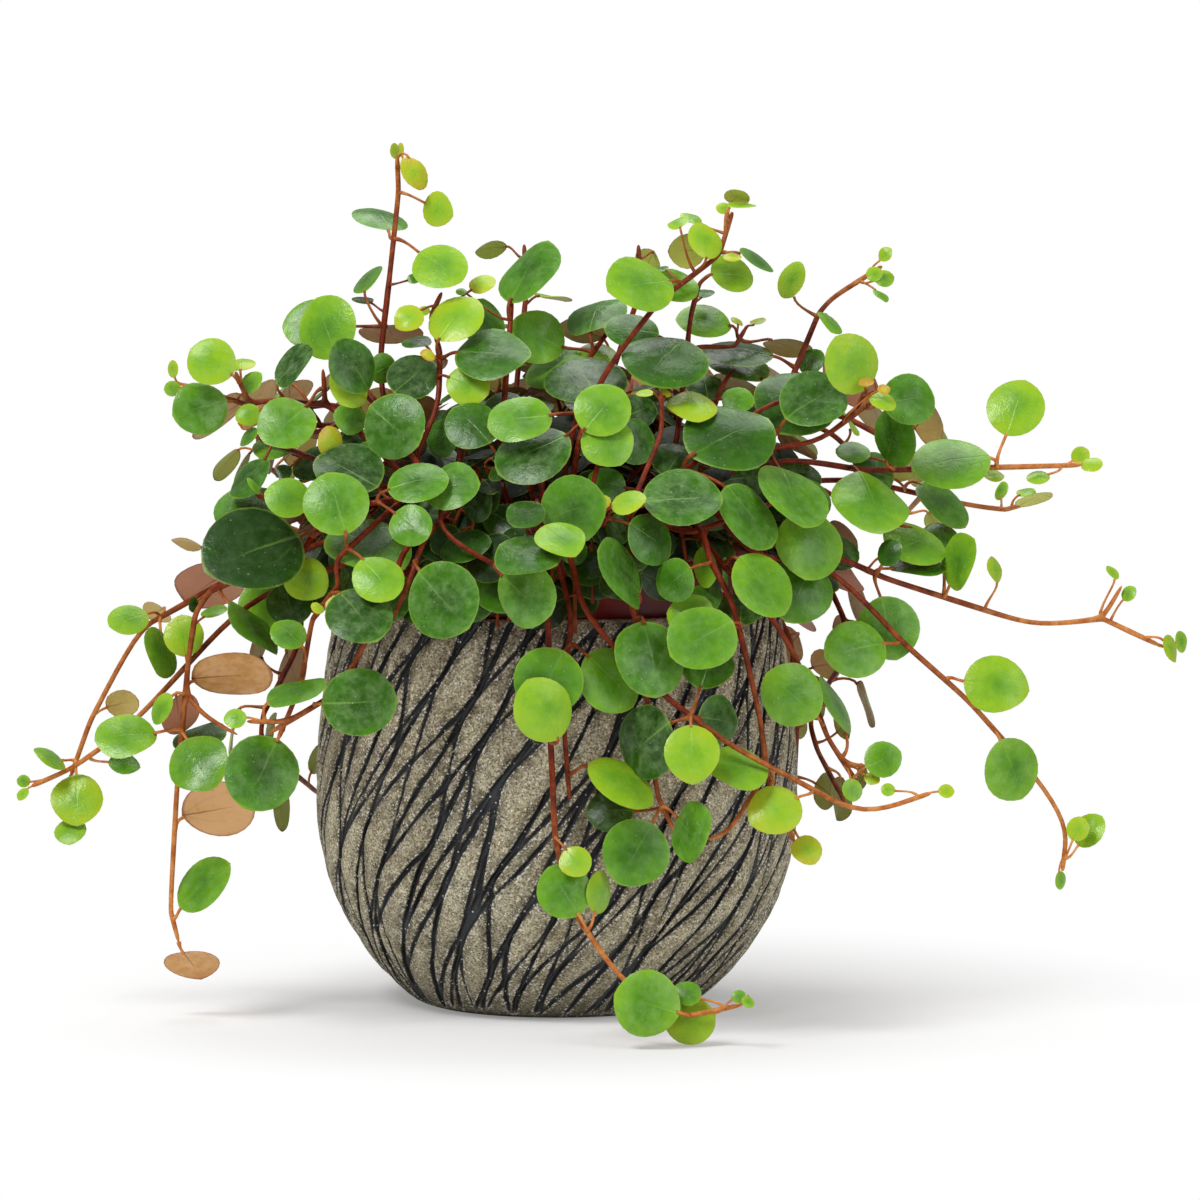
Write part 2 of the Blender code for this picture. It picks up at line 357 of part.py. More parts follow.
def close_ring(mesh, ring, height):
    """A flat floor from a ring to its middle."""
    middle = mesh.verts.new((0, 0, height * MM))
    for k, vert in enumerate(ring):
        mesh.faces.new((ring[k - 1], vert, middle))


def carved_pot(material):
    """The cover pot: a grooved outer wall, a flat rim, a plain inner wall and a flat floor."""
    mesh = bmesh.new()
    outer, angles = carve_wall(mesh)
    lining = [(pot_radius(z) - POT_WALL, z) for z in (POT_HEIGHT, 100, 70, 45, 28, 14)] + [(40, POT_FLOOR)]
    corner = 1 / math.cos(math.pi / GROOVES)
    inner = [ring_of(mesh, [(angle, radius * corner, z) for angle in angles]) for radius, z in lining]
    for rings in (outer, inner):
        for lower, upper in zip(rings, rings[1:]):
            join_rings(mesh, lower, upper)
    for k in range(GROOVES):
        before, left, bed, right = (outer[-1][3 * k + step] for step in (-1, 0, 1, 2))
        mesh.faces.new((before, left, inner[0][k], inner[0][k - 1]))
        mesh.faces.new((left, bed, inner[0][k]))
        mesh.faces.new((bed, right, inner[0][k]))
    close_ring(mesh, outer[0], 0)
    close_ring(mesh, inner[-1], POT_FLOOR)
    return finish("cover_pot", mesh, material)


def nursery_pot_profile():
    lip = TUB_TOP - TUB_LIP
    outside = [(TUB_HOLE, TUB_BOTTOM), (tub_radius(TUB_BOTTOM), TUB_BOTTOM), (tub_radius(lip), lip),
               (TUB_LIP_RADIUS, lip), (TUB_LIP_RADIUS, TUB_TOP)]
    floor = TUB_BOTTOM + TUB_WALL
    inside = [
        (tub_radius(TUB_TOP) - TUB_WALL, TUB_TOP),
        (tub_radius(floor) - TUB_WALL, floor),
        (TUB_HOLE, floor),
    ]
    return outside + inside


def soil_profile():
    bottom = TUB_BOTTOM + TUB_WALL + GAP
    side = TUB_WALL + GAP
    return [
        (0, bottom),
        (tub_radius(bottom) - side, bottom),
        (tub_radius(SOIL_TOP) - side, SOIL_TOP),
        (0, SOIL_TOP),
    ]


def turn(name, profile, sides, closed, material):
    """A body of revolution from a half outline. A closed outline leaves a hole around the axis."""
    mesh = bmesh.new()
    verts = [mesh.verts.new((r * MM, 0, z * MM)) for r, z in profile]
    edges = [mesh.edges.new(pair) for pair in zip(verts, verts[1:])]
    if closed:
        edges.append(mesh.edges.new((verts[-1], verts[0])))
    bmesh.ops.spin(mesh, geom=verts + edges, cent=(0, 0, 0), axis=(0, 0, 1), dvec=(0, 0, 0),
                   angle=math.tau, steps=sides, use_merge=True, use_duplicate=False)
    bmesh.ops.remove_doubles(mesh, verts=mesh.verts, dist=0.01 * MM)
    return finish(name, mesh, material)


def finish(name, mesh, material):
    """Turns a bmesh into a named object with outward faces, smooth but for its sharp corners."""
    bmesh.ops.recalc_face_normals(mesh, faces=mesh.faces)
    data = bpy.data.meshes.new(name)
    mesh.to_mesh(data)
    mesh.free()
    data.shade_smooth()
    data.set_sharp_from_angle(angle=math.radians(40))
    data.materials.append(material)
    item = bpy.data.objects.new(name, data)
    bpy.context.scene.collection.objects.link(item)
    return item


# ---------------------------------------------------------------- curves and stems

def to_space(x, z, y):
    """A place on the drawing, moved along the line of sight to the depth y."""
    flat = Vector((x, 0, z))
    return EYE + (flat - EYE) * ((y - EYE.y) / -EYE.y)


def curve_through(points, per_span):
    """A Catmull-Rom curve through the points, with per_span steps between each two."""
    rows = [2 * points[0] - points[1], *points, 2 * points[-1] - points[-2]]
    curve = []
    for before, start, end, after in zip(rows, rows[1:], rows[2:], rows[3:]):
        for step in range(per_span):
            t = step / per_span
            curve.append(0.5 * (2 * start + (end - before) * t
                                + (2 * before - 5 * start + 4 * end - after) * t * t
                                + (3 * start - before - 3 * end + after) * t * t * t))
    return curve + [points[-1]]


def unit(vector):
    return vector / np.linalg.norm(vector)


def bend_places(points):
    """Where a smooth curve needs a corner so that straight lengths between corners stay close to it."""
    places = {0, len(points) - 1}
    queue = [(0, len(points) - 1)]
    while queue:
        low, high = queue.pop()
        if high - low < 8:
            continue
        chord = unit(points[high] - points[low])
        off = points[low:high] - points[low]
        bulge = np.linalg.norm(off - np.outer(off @ chord, chord), axis=1)
        if bulge.max() > BEND_TOLERANCE or high - low > LONGEST_SPAN:
            corner = low + int(bulge.argmax()) if bulge.max() > BEND_TOLERANCE else (low + high) // 2
            corner = min(max(corner, low + 4), high - 4)
            places.add(corner)
            queue += [(low, corner), (corner, high)]
    return sorted(places)


class Limb:
    """A stem or a branch: a smooth curve with a square section that turns with it as little as it can."""

    def __init__(self, route, foot, tip, hidden=0):
        raw = np.array(curve_through([Vector(p) for p in route], 24))
        length = np.concatenate(([0], np.cumsum(np.linalg.norm(np.diff(raw, axis=0), axis=1))))
        count = max(12, round(length[-1] / STEP))
        even = np.linspace(0, length[-1], count)
        smooth = np.column_stack([np.interp(even, length, raw[:, k]) for k in range(3)])
        self.bends = bend_places(smooth)
        straight = [np.interp(range(count), self.bends, smooth[self.bends, k]) for k in range(3)]
        self.points = np.column_stack(straight)
        self.along = np.gradient(self.points, axis=0)
        self.along /= np.linalg.norm(self.along, axis=1)[:, None]
        self.along[0] = (0, 0, 1)
        self.radii = np.linspace(foot, tip, count)
        self.first = 0
        self.shown = int(np.linalg.norm(self.points - route[hidden], axis=1).argmin())
        self.nodes = {}
        self.tip_leaf = None
        self.across = np.zeros_like(self.points)
        turning = np.cross(self.along[0], (0.3, 1, 0.2))
        for i, tangent in enumerate(self.along):
            turning = unit(turning - tangent * (turning @ tangent))
            self.across[i] = turning
        self.beside = np.cross(self.along, self.across)

    def last(self):
        return len(self.points) - 1

    def ring(self, i, scale=1.0):
        """Four corners around the curve, counter-clockwise about its direction."""
        corners = []
        for k in range(4):
            angle = math.pi / 4 + k * math.pi / 2
            out = math.cos(angle) * self.across[i] + math.sin(angle) * self.beside[i]
            corners.append(self.points[i] + out * self.radii[i] * scale)
        return np.array(corners)

    def side_normal(self, i, side):
        """The outward direction of the face between corners side and side + 1."""
        return (self.beside[i], -self.across[i], -self.beside[i], self.across[i])[side]

    def side_middle(self, i, side):
        return self.points[i] + self.side_normal(i, side) * self.radii[i] * NODE_SWELL * math.sqrt(0.5)

    def opening(self, i, side):
        """The corners of the face that a leaf or a branch grows from; at the tip, all of the end."""
        if i == self.last():
            return self.ring(i)
        low, high = self.ring(i - NODE_HALF, NODE_SWELL), self.ring(i + NODE_HALF, NODE_SWELL)
        return np.array([low[side], low[(side + 1) % 4], high[(side + 1) % 4], high[side]])

    def best_side(self, i, direction):
        return max(range(4), key=lambda side: self.side_normal(i, side) @ direction)

    def node_is_free(self, i, side):
        """Whether a leaf or a branch can leave here: at a free side of a node, or clear of all the nodes."""
        if i == self.last():
            return self.tip_leaf is None
        if not self.first + 5 <= i <= self.last() - 5:
            return False
        if i in self.nodes:
            return side not in self.nodes[i]
        return all(abs(i - other) >= NODE_SPACING for other in self.nodes)

    def grow(self, i, side, growth):
        if i == self.last():
            self.tip_leaf = growth
        else:
            self.nodes.setdefault(i, {})[side] = growth

    def ring_places(self):
        """Where the rings go: the ends, both sides of each node, and the bends clear of the nodes."""
        places = {self.first, self.last()}
        for node in self.nodes:
            places.update((node - NODE_HALF, node + NODE_HALF))
        clear = [bend for bend in self.bends if bend > self.first
                 and all(abs(bend - place) > 1 for place in places)
                 and all(abs(bend - node) > NODE_HALF for node in self.nodes)]
        return sorted(places.union(clear))


# ---------------------------------------------------------------- leaves

class Leaf:
    """A blade on its stalk. It faces along `up`, and its tip points along `out` from its base."""

    def __init__(self, middle, up, out, size, age):
        self.middle = middle
        self.up = up
        self.out = out
        self.side = np.cross(up, out)
        self.arrival = out
        self.length = size * BLADE_LONGER
        self.width = size * BLADE_NARROWER
        self.thick = BLADE_BUD + BLADE_PER_AGE * age
        self.stalk = min(0.55, 0.1 + 0.06 * size)
        self.rim_points = 7 if size >= 17 else 6 if size >= 8 else 5

    def neck(self):
        return self.middle - self.out * (self.length / 2 + min(2.5, 0.8 + 0.12 * self.length))

    def collar(self, margin=0.0):
        """The end of the stalk, a small square before the blade's base, half turned from stalk to blade."""
        facing_out = unit(self.out + self.arrival)
        sideways = unit(self.side - facing_out * (self.side @ facing_out))
        upward = np.cross(facing_out, sideways)
        reach = self.stalk + margin
        corners = ((-1, -1), (1, -1), (1, 1), (-1, 1))
        return np.array([self.neck() + reach * (s * sideways + u * upward) for s, u in corners])

    def rim(self, lift, margin=0.0):
        """The blade's outline, from beside its base around by the tip, at a height above its middle plane."""
        opening = math.radians(6)
        points = []
        for k in range(self.rim_points):
            angle = opening + k * (math.tau - 2 * opening) / (self.rim_points - 1)
            forward = -math.cos(angle) * (self.length / 2 + margin)
            sideways = math.sin(angle) * (self.width / 2 + margin)
            points.append(self.middle + forward * self.out + sideways * self.side + lift * self.up)
        return np.array(points)

    def crown(self, above):
        """The middle of the blade's upper or lower face."""
        if above:
            return self.middle + self.up * (self.thick / 2 + DOME * self.length)
        return self.middle + self.up * (-self.thick / 2 + 0.6 * DOME * self.length)


def blade_faces(count, bottom, top, low_crown, high_crown):
    """The blade's faces for rim points numbered from bottom and top, all but the one at the stalk."""
    faces = []
    for k in range(count):
        after = (k + 1) % count
        if after:
            faces.append((bottom + k, top + k, top + after, bottom + after))
        faces.append((top + after, top + k, high_crown))
        faces.append((bottom + k, bottom + after, low_crown))
    return faces


def leaf_solid(leaf, start, margin):
    """The blade and a tapered square bar for its stalk, as points and faces, thickened by a margin."""
    half = leaf.thick / 2 + margin
    count = leaf.rim_points
    points = [*leaf.rim(-half, margin), *leaf.rim(half, margin)]
    points += [leaf.crown(False) - leaf.up * margin, leaf.crown(True) + leaf.up * margin]
    faces = blade_faces(count, 0, count, 2 * count, 2 * count + 1)
    faces.append((count - 1, 0, count, 2 * count - 1))
    collar = leaf.collar(margin)
    base = len(points)
    points += [*(start + 0.25 * (collar - leaf.neck())), *collar]
    faces += [(base + k, base + (k + 1) % 4, base + 4 + (k + 1) % 4, base + 4 + k) for k in range(4)]
    return np.array(points), faces


def limb_solids(limb, margin):
    """The limb in short square lengths, as points and faces, thickened by a margin."""
    places = [limb.first] + [bend for bend in limb.bends if bend > limb.first]
    solids = []
    for start in range(0, len(places) - 1, 5):
        rings = places[start:start + 6]
        points = np.concatenate([limb.ring(i, 1 + margin / limb.radii[i]) for i in rings])
        faces = []
        for ring in range(len(rings) - 1):
            faces += [(4 * ring + k, 4 * ring + (k + 1) % 4, 4 * ring + 4 + (k + 1) % 4, 4 * ring + 4 + k)
                      for k in range(4)]
        solids.append((points, faces))
    return solids


class Space:
    """What has been placed so far, so that the next piece stays clear of it."""

    def __init__(self):
        self.low = np.zeros((0, 3))
        self.high = np.zeros((0, 3))
        self.trees = []

    def add(self, points, faces):
        self.low = np.vstack([self.low, points.min(axis=0)])
        self.high = np.vstack([self.high, points.max(axis=0)])
        self.trees.append(BVHTree.FromPolygons([tuple(p) for p in points], faces))

    def is_free(self, points, faces):
        near = (self.low <= points.max(axis=0)).all(axis=1) & (self.high >= points.min(axis=0)).all(axis=1)
        if not near.any():
            return True
        tree = BVHTree.FromPolygons([tuple(p) for p in points], faces)
        return not any(tree.overlap(self.trees[i]) for i in np.flatnonzero(near))


def clear_of_pots(points, margin):
    """Whether the points lie above the table and outside the cover pot, the nursery pot and the soil."""
    radius = np.hypot(points[:, 0], points[:, 1])
    height = points[:, 2]
    wall = pot_radius(np.clip(height, 0, POT_HEIGHT))
    wall = np.where(height > POT_HEIGHT + margin, TUB_LIP_RADIUS, wall)
    wall = np.where(height > TUB_TOP + margin, 0, wall)
    over_soil = (height > SOIL_TOP + margin) & (radius < tub_radius(SOIL_TOP) - TUB_WALL - margin)
    return bool(((height > GAP) & (over_soil | (radius > wall + margin) | (wall == 0))).all())


# ---------------------------------------------------------------- placing the stems

def over_the_rim(first, angle, foot_radius, lift):
    """The hidden start of a shoot: up from the soil and, where it leaves low, over the nursery pot's lip."""
    def at(radius, height, turn=0.0):
        return Vector((radius * math.cos(angle + turn), radius * math.sin(angle + turn), height))

    reach = math.hypot(first[0], first[1])
    start = [at(foot_radius, SOIL_TOP + GAP), at(foot_radius, SOIL_TOP + 6 + 0.3 * lift)]
    if first[2] > 164 or reach < TUB_LIP_RADIUS + 4:
        return start
    start.append(at(TUB_LIP_RADIUS + 1, TUB_TOP + 7 + lift))
    if first[2] < 150:
        shoulder = at(0.5 * (TUB_LIP_RADIUS + reach) + 4, 0.5 * (TUB_TOP + 6 + first[2]) + 4 + 0.6 * lift)
        start.append(shoulder)
    return start


def limb_is_free(limb, space):
    """Whether a limb, slightly thickened, clears the pots, what is placed already, and itself."""
    if not clear_of_pots(limb.points[limb.first + 6:], limb.radii[0] + GAP):
        return False
    skin = Skin()
    skin.grow_limb(limb)
    if not skin.is_sound():
        return False
    return all(space.is_free(points, faces) for points, faces in limb_solids(limb, CLEARANCE))


def add_limb(limb, space):
    for points, faces in limb_solids(limb, 0.0):
        space.add(points, faces)


def place_stem(route, rank, space, draw):
    """A stem through the route. Its hidden start, and then its depth, change a little until it is clear."""
    for attempt in range(STEM_TRIES):
        loose = min(1.4, attempt / 80)
        push = draw.uniform(-7, 7) * loose
        tilt = draw.uniform(-6, 6) * loose
        last = max(1, len(route) - 1)
        moved = []
        for place, point in enumerate(route):
            away = (point - EYE).normalized()
            moved.append(point + away * (push + tilt * (place / last - 0.5)))
        angle = math.atan2(moved[0].y, moved[0].x) + draw.uniform(-0.25, 0.25) * (0.2 + loose)
        foot_radius = 52 - 8 * (rank % 5) + draw.uniform(-4, 4)
        lift = (52 - foot_radius) * 0.35 + draw.uniform(0, 12) * (0.2 + loose)
        start = over_the_rim(moved[0], angle, foot_radius, lift)
        limb = Limb(start + moved, STEM_FOOT, STEM_TIP, len(start))
        if limb_is_free(limb, space):
            return limb
    return None


def place_branch(parent, leaves_at, points, space, draw):
    """A branch from the parent's nearest point, clear of everything. Returns its node, side and limb."""
    spots = np.array([drawn_place(point) for point in parent.points])
    target = int(np.hypot(*(spots - leaves_at).T).argmin())
    for attempt in range(BRANCH_TRIES):
        node = target + round(draw.uniform(-8, 8) * attempt / 40)
        if not 6 <= node <= parent.last() - 6:
            continue
        push = draw.uniform(-5, 5) * attempt / 40
        route = [Vector(parent.points[node])] + [p + (p - EYE).normalized() * push for p in points]
        limb = Limb(route, BRANCH_FOOT, BRANCH_TIP)
        leaving = limb.points[min(limb.last(), 8)] - parent.points[node]
        side = parent.best_side(node, leaving)
        apart = (limb.points - parent.side_middle(node, side)) @ parent.side_normal(node, side)
        beyond = np.flatnonzero(apart > BRANCH_FOOT + CLEARANCE + 0.4)
        if not len(beyond) or beyond[0] > 14 or not parent.node_is_free(node, side):
            continue
        limb.first = int(beyond[0])
        skin = Skin()
        skin.bridge(skin.add(parent.opening(node, side)), skin.add(limb.ring(limb.first)))
        if skin.is_sound() and limb_is_free(limb, space):
            return node, side, limb
    return None


def drawn_place(point):
    """Where a point in space lies on the drawing."""
    share = -EYE.y / (point[1] - EYE.y)
    return EYE.x + (point[0] - EYE.x) * share, EYE.z + (point[2] - EYE.z) * share


# ---------------------------------------------------------------- placing the leaves

def hang_leaf(limb, node, middle, up, size, age):
    """A leaf that leaves the limb at a node, or None where its stalk would run along or into the limb."""
    toward = middle - limb.points[node]
    out = toward - up * (toward @ up)
    if np.linalg.norm(out) < 0.15 * size:
        out = np.array((0, 0, -1.0)) - up * -up[2]
    leaf = Leaf(middle, up, unit(out), size, age)
    reach = leaf.neck() - limb.points[node]
    side = limb.best_side(node, reach)
    if not limb.node_is_free(node, side):
        return None
    at_tip = node == limb.last()
    start = limb.points[node] if at_tip else limb.side_middle(node, side)
    normal = limb.along[node] if at_tip else limb.side_normal(node, side)
    leaf.arrival = unit(leaf.neck() - start)
    if leaf.arrival @ leaf.out < -0.15 or leaf.arrival @ normal < 0.42:
        return None
    if ((leaf.collar() - start) @ normal).min() < 0.35:
        return None
    for other in limb.nodes.get(node, {}).values():
        if isinstance(other, Leaf) and unit(other.neck() - limb.points[node]) @ unit(reach) > 0.75:
            return None
    return Hanging(limb, node, side, leaf, start, normal)


class Hanging:
    """A leaf held at a node of a limb, to be tried before it is kept."""

    def __init__(self, limb, node, side, leaf, start, normal):
        self.limb = limb
        self.node = node
        self.side = side
        self.leaf = leaf
        self.start = start + 0.45 * normal
        self.skin = Skin()
        self.skin.grow_leaf(leaf, self.skin.add(limb.opening(node, side) + 0.02 * normal))

    def is_free(self, space):
        points, faces = leaf_solid(self.leaf, self.start, CLEARANCE)
        if not clear_of_pots(points, 0.4) or not space.is_free(points, faces):
            return False
        return self.skin.is_sound() and space.is_free(np.array(self.skin.points), self.skin.faces)

    def keep(self, space):
        self.limb.grow(self.node, self.side, self.leaf)
        space.add(np.array(self.skin.points), self.skin.faces)


def facing(tilt, lean):
    """The direction of a blade that is tilted from facing the front, with its face leaning to an angle."""
    tilt, lean = math.radians(tilt), math.radians(lean)
    return np.array((math.sin(tilt) * math.cos(lean), -math.cos(tilt), math.sin(tilt) * math.sin(lean)))


def stations(limbs, middle, up, size):
    """The places on the limbs where a leaf's stalk could start, the best first, as (cost, limb, node)."""
    found = []
    for limb in limbs:
        spots = np.append(np.arange(6, limb.last() - 5, 2), limb.last())
        toward = middle - limb.points[spots]
        out = toward - np.outer(toward @ up, up)
        out /= np.maximum(np.linalg.norm(out, axis=1), 0.01)[:, None]
        stalk = toward - out * (size * BLADE_LONGER / 2)
        length = np.maximum(np.linalg.norm(stalk, axis=1), 0.01)
        slant = np.abs((stalk * limb.along[spots]).sum(axis=1)) / length
        slant[-1] = 0
        cost = np.abs(length - STALK_LENGTH) + 8 * np.maximum(0, slant - 0.6)
        cost += 1.5 * np.maximum(0, -1 - toward @ up)
        cost -= np.array([5.5 if spot in limb.nodes else 0 for spot in spots])
        usable = (length > 2.6) & (length < 30)
        best = sorted((cost[k], spots[k]) for k in np.flatnonzero(usable))[:12]
        found += [(float(value), limb, int(spot)) for value, spot in best]
    found.sort(key=lambda entry: entry[0])
    return found[:14]


def place_front_leaf(row, limbs, spots, space):
    """One leaf of the table, at its drawn place. Its depth and its tilt give way where it would touch."""
    x, z, back, size, tilt, lean, age = row
    nearest = min(((np.hypot(*(places - (x, z)).T).min(), limb, places)
                   for limb, places in zip(limbs, spots)),
                  key=lambda entry: entry[0])
    _, limb, places = nearest
    depth = limb.points[limb.shown + np.hypot(*(places - (x, z)).T).argmin()][1]
    tries = []
    for shift in DEPTH_SHIFTS:
        for turn in TILT_SHIFTS:
            middle = to_space(x, z, depth + back + shift)
            scaled = size * (middle.y - EYE.y) / -EYE.y
            up = facing(tilt + turn, lean)
            for cost, limb, node in stations(limbs, np.array(middle), up, scaled):
                moved = 0.7 * abs(shift) + 0.25 * abs(turn)
                tries.append((cost + moved, limb, node, np.array(middle), up, scaled))
    tries.sort(key=lambda entry: entry[0])
    for _, limb, node, middle, up, scaled in tries:
        hung = hang_leaf(limb, node, middle, up, scaled, age)
        if hung and hung.is_free(space):
            hung.keep(space)
            return


def place_back_leaves(limb, space, draw):
    """Leaves all along a back shoot, by turns at its left and right, facing away from the plant's middle."""
    node = limb.last() - 8
    turn = 1
    while node > 8:
        share = node / limb.last()
        size = draw.uniform(15, 25) * (1.25 - 0.75 * share)
        age = round(8 - 5.5 * share + draw.uniform(-1, 1))
        hub = Vector((0, 0, min(BACK_HUB.z, limb.points[node][2] - 12)))
        away = unit(limb.points[node] - np.array(hub))
        placed = clear_of_pots(limb.points[node:node + 1], 12) and try_back_leaf(
            limb, node, away, turn, size, age, space, draw)
        turn = -turn
        node -= round(BACK_LEAF_SPACING * (0.7 if placed else 0.35) * draw.uniform(0.8, 1.2) / STEP)


def try_back_leaf(limb, node, away, turn, size, age, space, draw):
    beside = unit(np.cross(limb.along[node], away)) * turn
    for attempt in range(BACK_LEAF_TRIES):
        wobble = np.array([draw.uniform(-1, 1) for _ in range(3)]) * (0.25 + 0.05 * attempt)
        up = unit(away + wobble * 0.8)
        direction = unit(0.5 * away + 0.8 * beside + 0.2 * limb.along[node] + wobble)
        middle = limb.points[node] + direction * (size * 0.5 + STALK_LENGTH)
        hung = hang_leaf(limb, node, middle, up, size * (1 - 0.02 * attempt), max(1, min(9, age)))
        if hung and hung.is_free(space):
            hung.keep(space)
            return True
    return False


# ---------------------------------------------------------------- the grown meshes

class Skin:
    """The one closed surface of a shoot, grown ring by ring."""

    def __init__(self):
        self.points = []
        self.faces = []

    def add(self, points):
        start = len(self.points)
        self.points += [tuple(p) for p in points]
        return list(range(start, len(self.points)))

    def bridge(self, loop, far):
        """Joins two four-cornered loops, turned so that their corners meet with the least twist."""
        def stretch(turn):
            return sum((Vector(self.points[loop[k]])
                        - Vector(self.points[far[(k + turn) % 4]])).length_squared
                       for k in range(4))

        turn = min(range(4), key=stretch)
        far = far[turn:] + far[:turn]
        for k in range(4):
            self.quad(loop[k], loop[(k + 1) % 4], far[(k + 1) % 4], far[k])

    def quad(self, a, b, c, d):
        """Two triangles, split along the diagonal that makes them bulge outwards."""
        at = [np.array(self.points[k]) for k in (a, b, c, d)]
        if np.cross(at[1] - at[0], at[2] - at[0]) @ (at[3] - at[0]) <= 0:
            self.faces += [(a, b, c), (a, c, d)]
        else:
            self.faces += [(a, b, d), (b, c, d)]

    def is_sound(self):
        """Whether no two faces cross, apart from those that share a corner."""
        tree = BVHTree.FromPolygons(self.points, self.faces)
        return all(set(self.faces[a]) & set(self.faces[b]) for a, b in tree.overlap(tree) if a < b)

    def grow_limb(self, limb, root=None):
        """A limb from its foot, or from the opening that its parent left for it."""
        places = limb.ring_places()
        swollen = {node + side for node in limb.nodes for side in (-NODE_HALF, NODE_HALF)}
        rings = [self.add(limb.ring(i, NODE_SWELL if i in swollen else 1)) for i in places]
        if root:
            self.bridge(root, rings[0])
        else:
            self.quad(*reversed(rings[0]))
        for (low, start), (_, end) in zip(zip(places, rings), zip(places[1:], rings[1:])):
            growths = limb.nodes.get(low + NODE_HALF, {})
            for side in range(4):
                corners = (start[side], start[(side + 1) % 4], end[(side + 1) % 4], end[side])
                if side in growths:
                    self.grow_from(list(corners), growths[side])
                else:
                    self.quad(*corners)
        if limb.tip_leaf:
            self.grow_leaf(limb.tip_leaf, rings[-1])
        else:
            self.quad(*rings[-1])

    def grow_from(self, opening, growth):
        if isinstance(growth, Limb):
            self.grow_limb(growth, opening)
        else:
            self.grow_leaf(growth, opening)

    def grow_leaf(self, leaf, opening):
        """The stalk from the stem to the collar, and the blade around the collar's far side."""
        collar = self.add(leaf.collar())
        self.bridge(opening, collar)
        bottom = self.add(leaf.rim(-leaf.thick / 2))
        top = self.add(leaf.rim(leaf.thick / 2))
        crowns = self.add([leaf.crown(False), leaf.crown(True)])
        base = (bottom[-1], bottom[0], top[0], top[-1])
        for k in range(4):
            self.quad(collar[k], collar[(k + 1) % 4], base[(k + 1) % 4], base[k])
        for face in blade_faces(leaf.rim_points, bottom[0], top[0], *crowns):
            self.quad(*face) if len(face) == 4 else self.faces.append(face)

    def to_object(self, name, material):
        mesh = bmesh.new()
        verts = [mesh.verts.new(Vector(p) * MM) for p in self.points]
        for face in self.faces:
            mesh.faces.new([verts[i] for i in face])
        return finish(name, mesh, material)


# ---------------------------------------------------------------- the whole plant

def front_shoots(space, draw):
    """The drawn shoots, longest first where they crowd, with their branches."""
    shoots = {}
    for rank, (name, route) in enumerate(STEMS.items()):
        limb = place_stem([to_space(*point) for point in route], rank, space, draw)
        if limb:
            add_limb(limb, space)
            shoots[name] = [limb]
    for name, leaves_at, points in BRANCHES:
        if name not in shoots:
            continue
        parent = shoots[name][0]
        placed = place_branch(parent, leaves_at, [to_space(*point) for point in points], space, draw)
        if placed:
            node, side, limb = placed
            parent.grow(node, side, limb)
            add_limb(limb, space)
            shoots[name].append(limb)
    return shoots


def back_shoots(space, draw):
    shoots = {}
    for rank, (habit, compass, reach) in enumerate(BACK_SHOOTS):
        angle = math.radians(compass)
        route = []
        for place, (radius, height) in enumerate(HABITS[habit]):
            turn = angle + draw.uniform(-0.1, 0.1) * place
            away = radius if radius < 82 else 82 + (radius - 82) * reach
            route.append(Vector((away * math.cos(turn), away * math.sin(turn), height)))
        limb = place_stem(route, rank, space, draw)
        if limb:
            add_limb(limb, space)
            shoots[f"back_{habit}_{compass}"] = [limb]
    return shoots


def build():
    clear_scene()
    draw = random.Random(SEED)
    stoneware = make_material("grey stoneware", (0.36, 0.34, 0.31), 0.85)
    plastic = make_material("brown nursery pot plastic", (0.2, 0.09, 0.06), 0.5)
    compost = make_material("dark compost", (0.05, 0.035, 0.025), 0.95)
    carved_pot(stoneware)
    turn("nursery_pot", nursery_pot_profile(), TUB_SIDES, True, plastic)
    turn("soil", soil_profile(), TUB_SIDES, False, compost)

    space = Space()
    front = front_shoots(space, draw)
    back = back_shoots(space, draw)
    limbs = [limb for shoot in front.values() for limb in shoot]
    spots = [np.array([drawn_place(point) for point in limb.points[limb.shown:]]) for limb in limbs]
    for row in sorted(LEAVES, key=lambda row: -row[SIZE_COLUMN]):
        place_front_leaf(row, limbs, spots, space)
    for shoot in back.values():
        place_back_leaves(shoot[0], space, draw)

    for name, shoot in {**front, **back}.items():
        skin = Skin()
        skin.grow_limb(shoot[0])
        skin.to_object("shoot_" + name, make_material("leaves and stem of " + name, (0.18, 0.26, 0.06), 0.4))


build()
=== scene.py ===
import math
import random

import bmesh
import bpy
import numpy as np
from mathutils import Matrix, Vector, noise
from mathutils.bvhtree import BVHTree


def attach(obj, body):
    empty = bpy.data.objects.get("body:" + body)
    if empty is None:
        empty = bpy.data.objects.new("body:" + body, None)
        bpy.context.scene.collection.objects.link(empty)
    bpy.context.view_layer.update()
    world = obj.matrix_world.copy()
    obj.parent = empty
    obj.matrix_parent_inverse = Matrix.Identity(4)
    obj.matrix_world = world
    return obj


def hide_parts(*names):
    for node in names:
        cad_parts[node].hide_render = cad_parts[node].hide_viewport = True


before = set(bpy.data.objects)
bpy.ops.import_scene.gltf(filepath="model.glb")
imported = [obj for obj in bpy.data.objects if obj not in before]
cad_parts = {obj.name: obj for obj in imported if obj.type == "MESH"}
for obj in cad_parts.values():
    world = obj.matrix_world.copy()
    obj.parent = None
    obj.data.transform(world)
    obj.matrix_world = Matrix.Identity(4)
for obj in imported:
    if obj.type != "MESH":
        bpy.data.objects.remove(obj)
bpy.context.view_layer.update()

# ------------------------------------------------------------------ cover pot
# A stoneware cover pot with a gritty grey slip. Long wavy grooves are cut on a slant round its wall and
# inked charcoal; they meet and part, and leave lens-shaped fields between them. It stands on its flat base.
MM = 0.001
TAU = 2 * math.pi
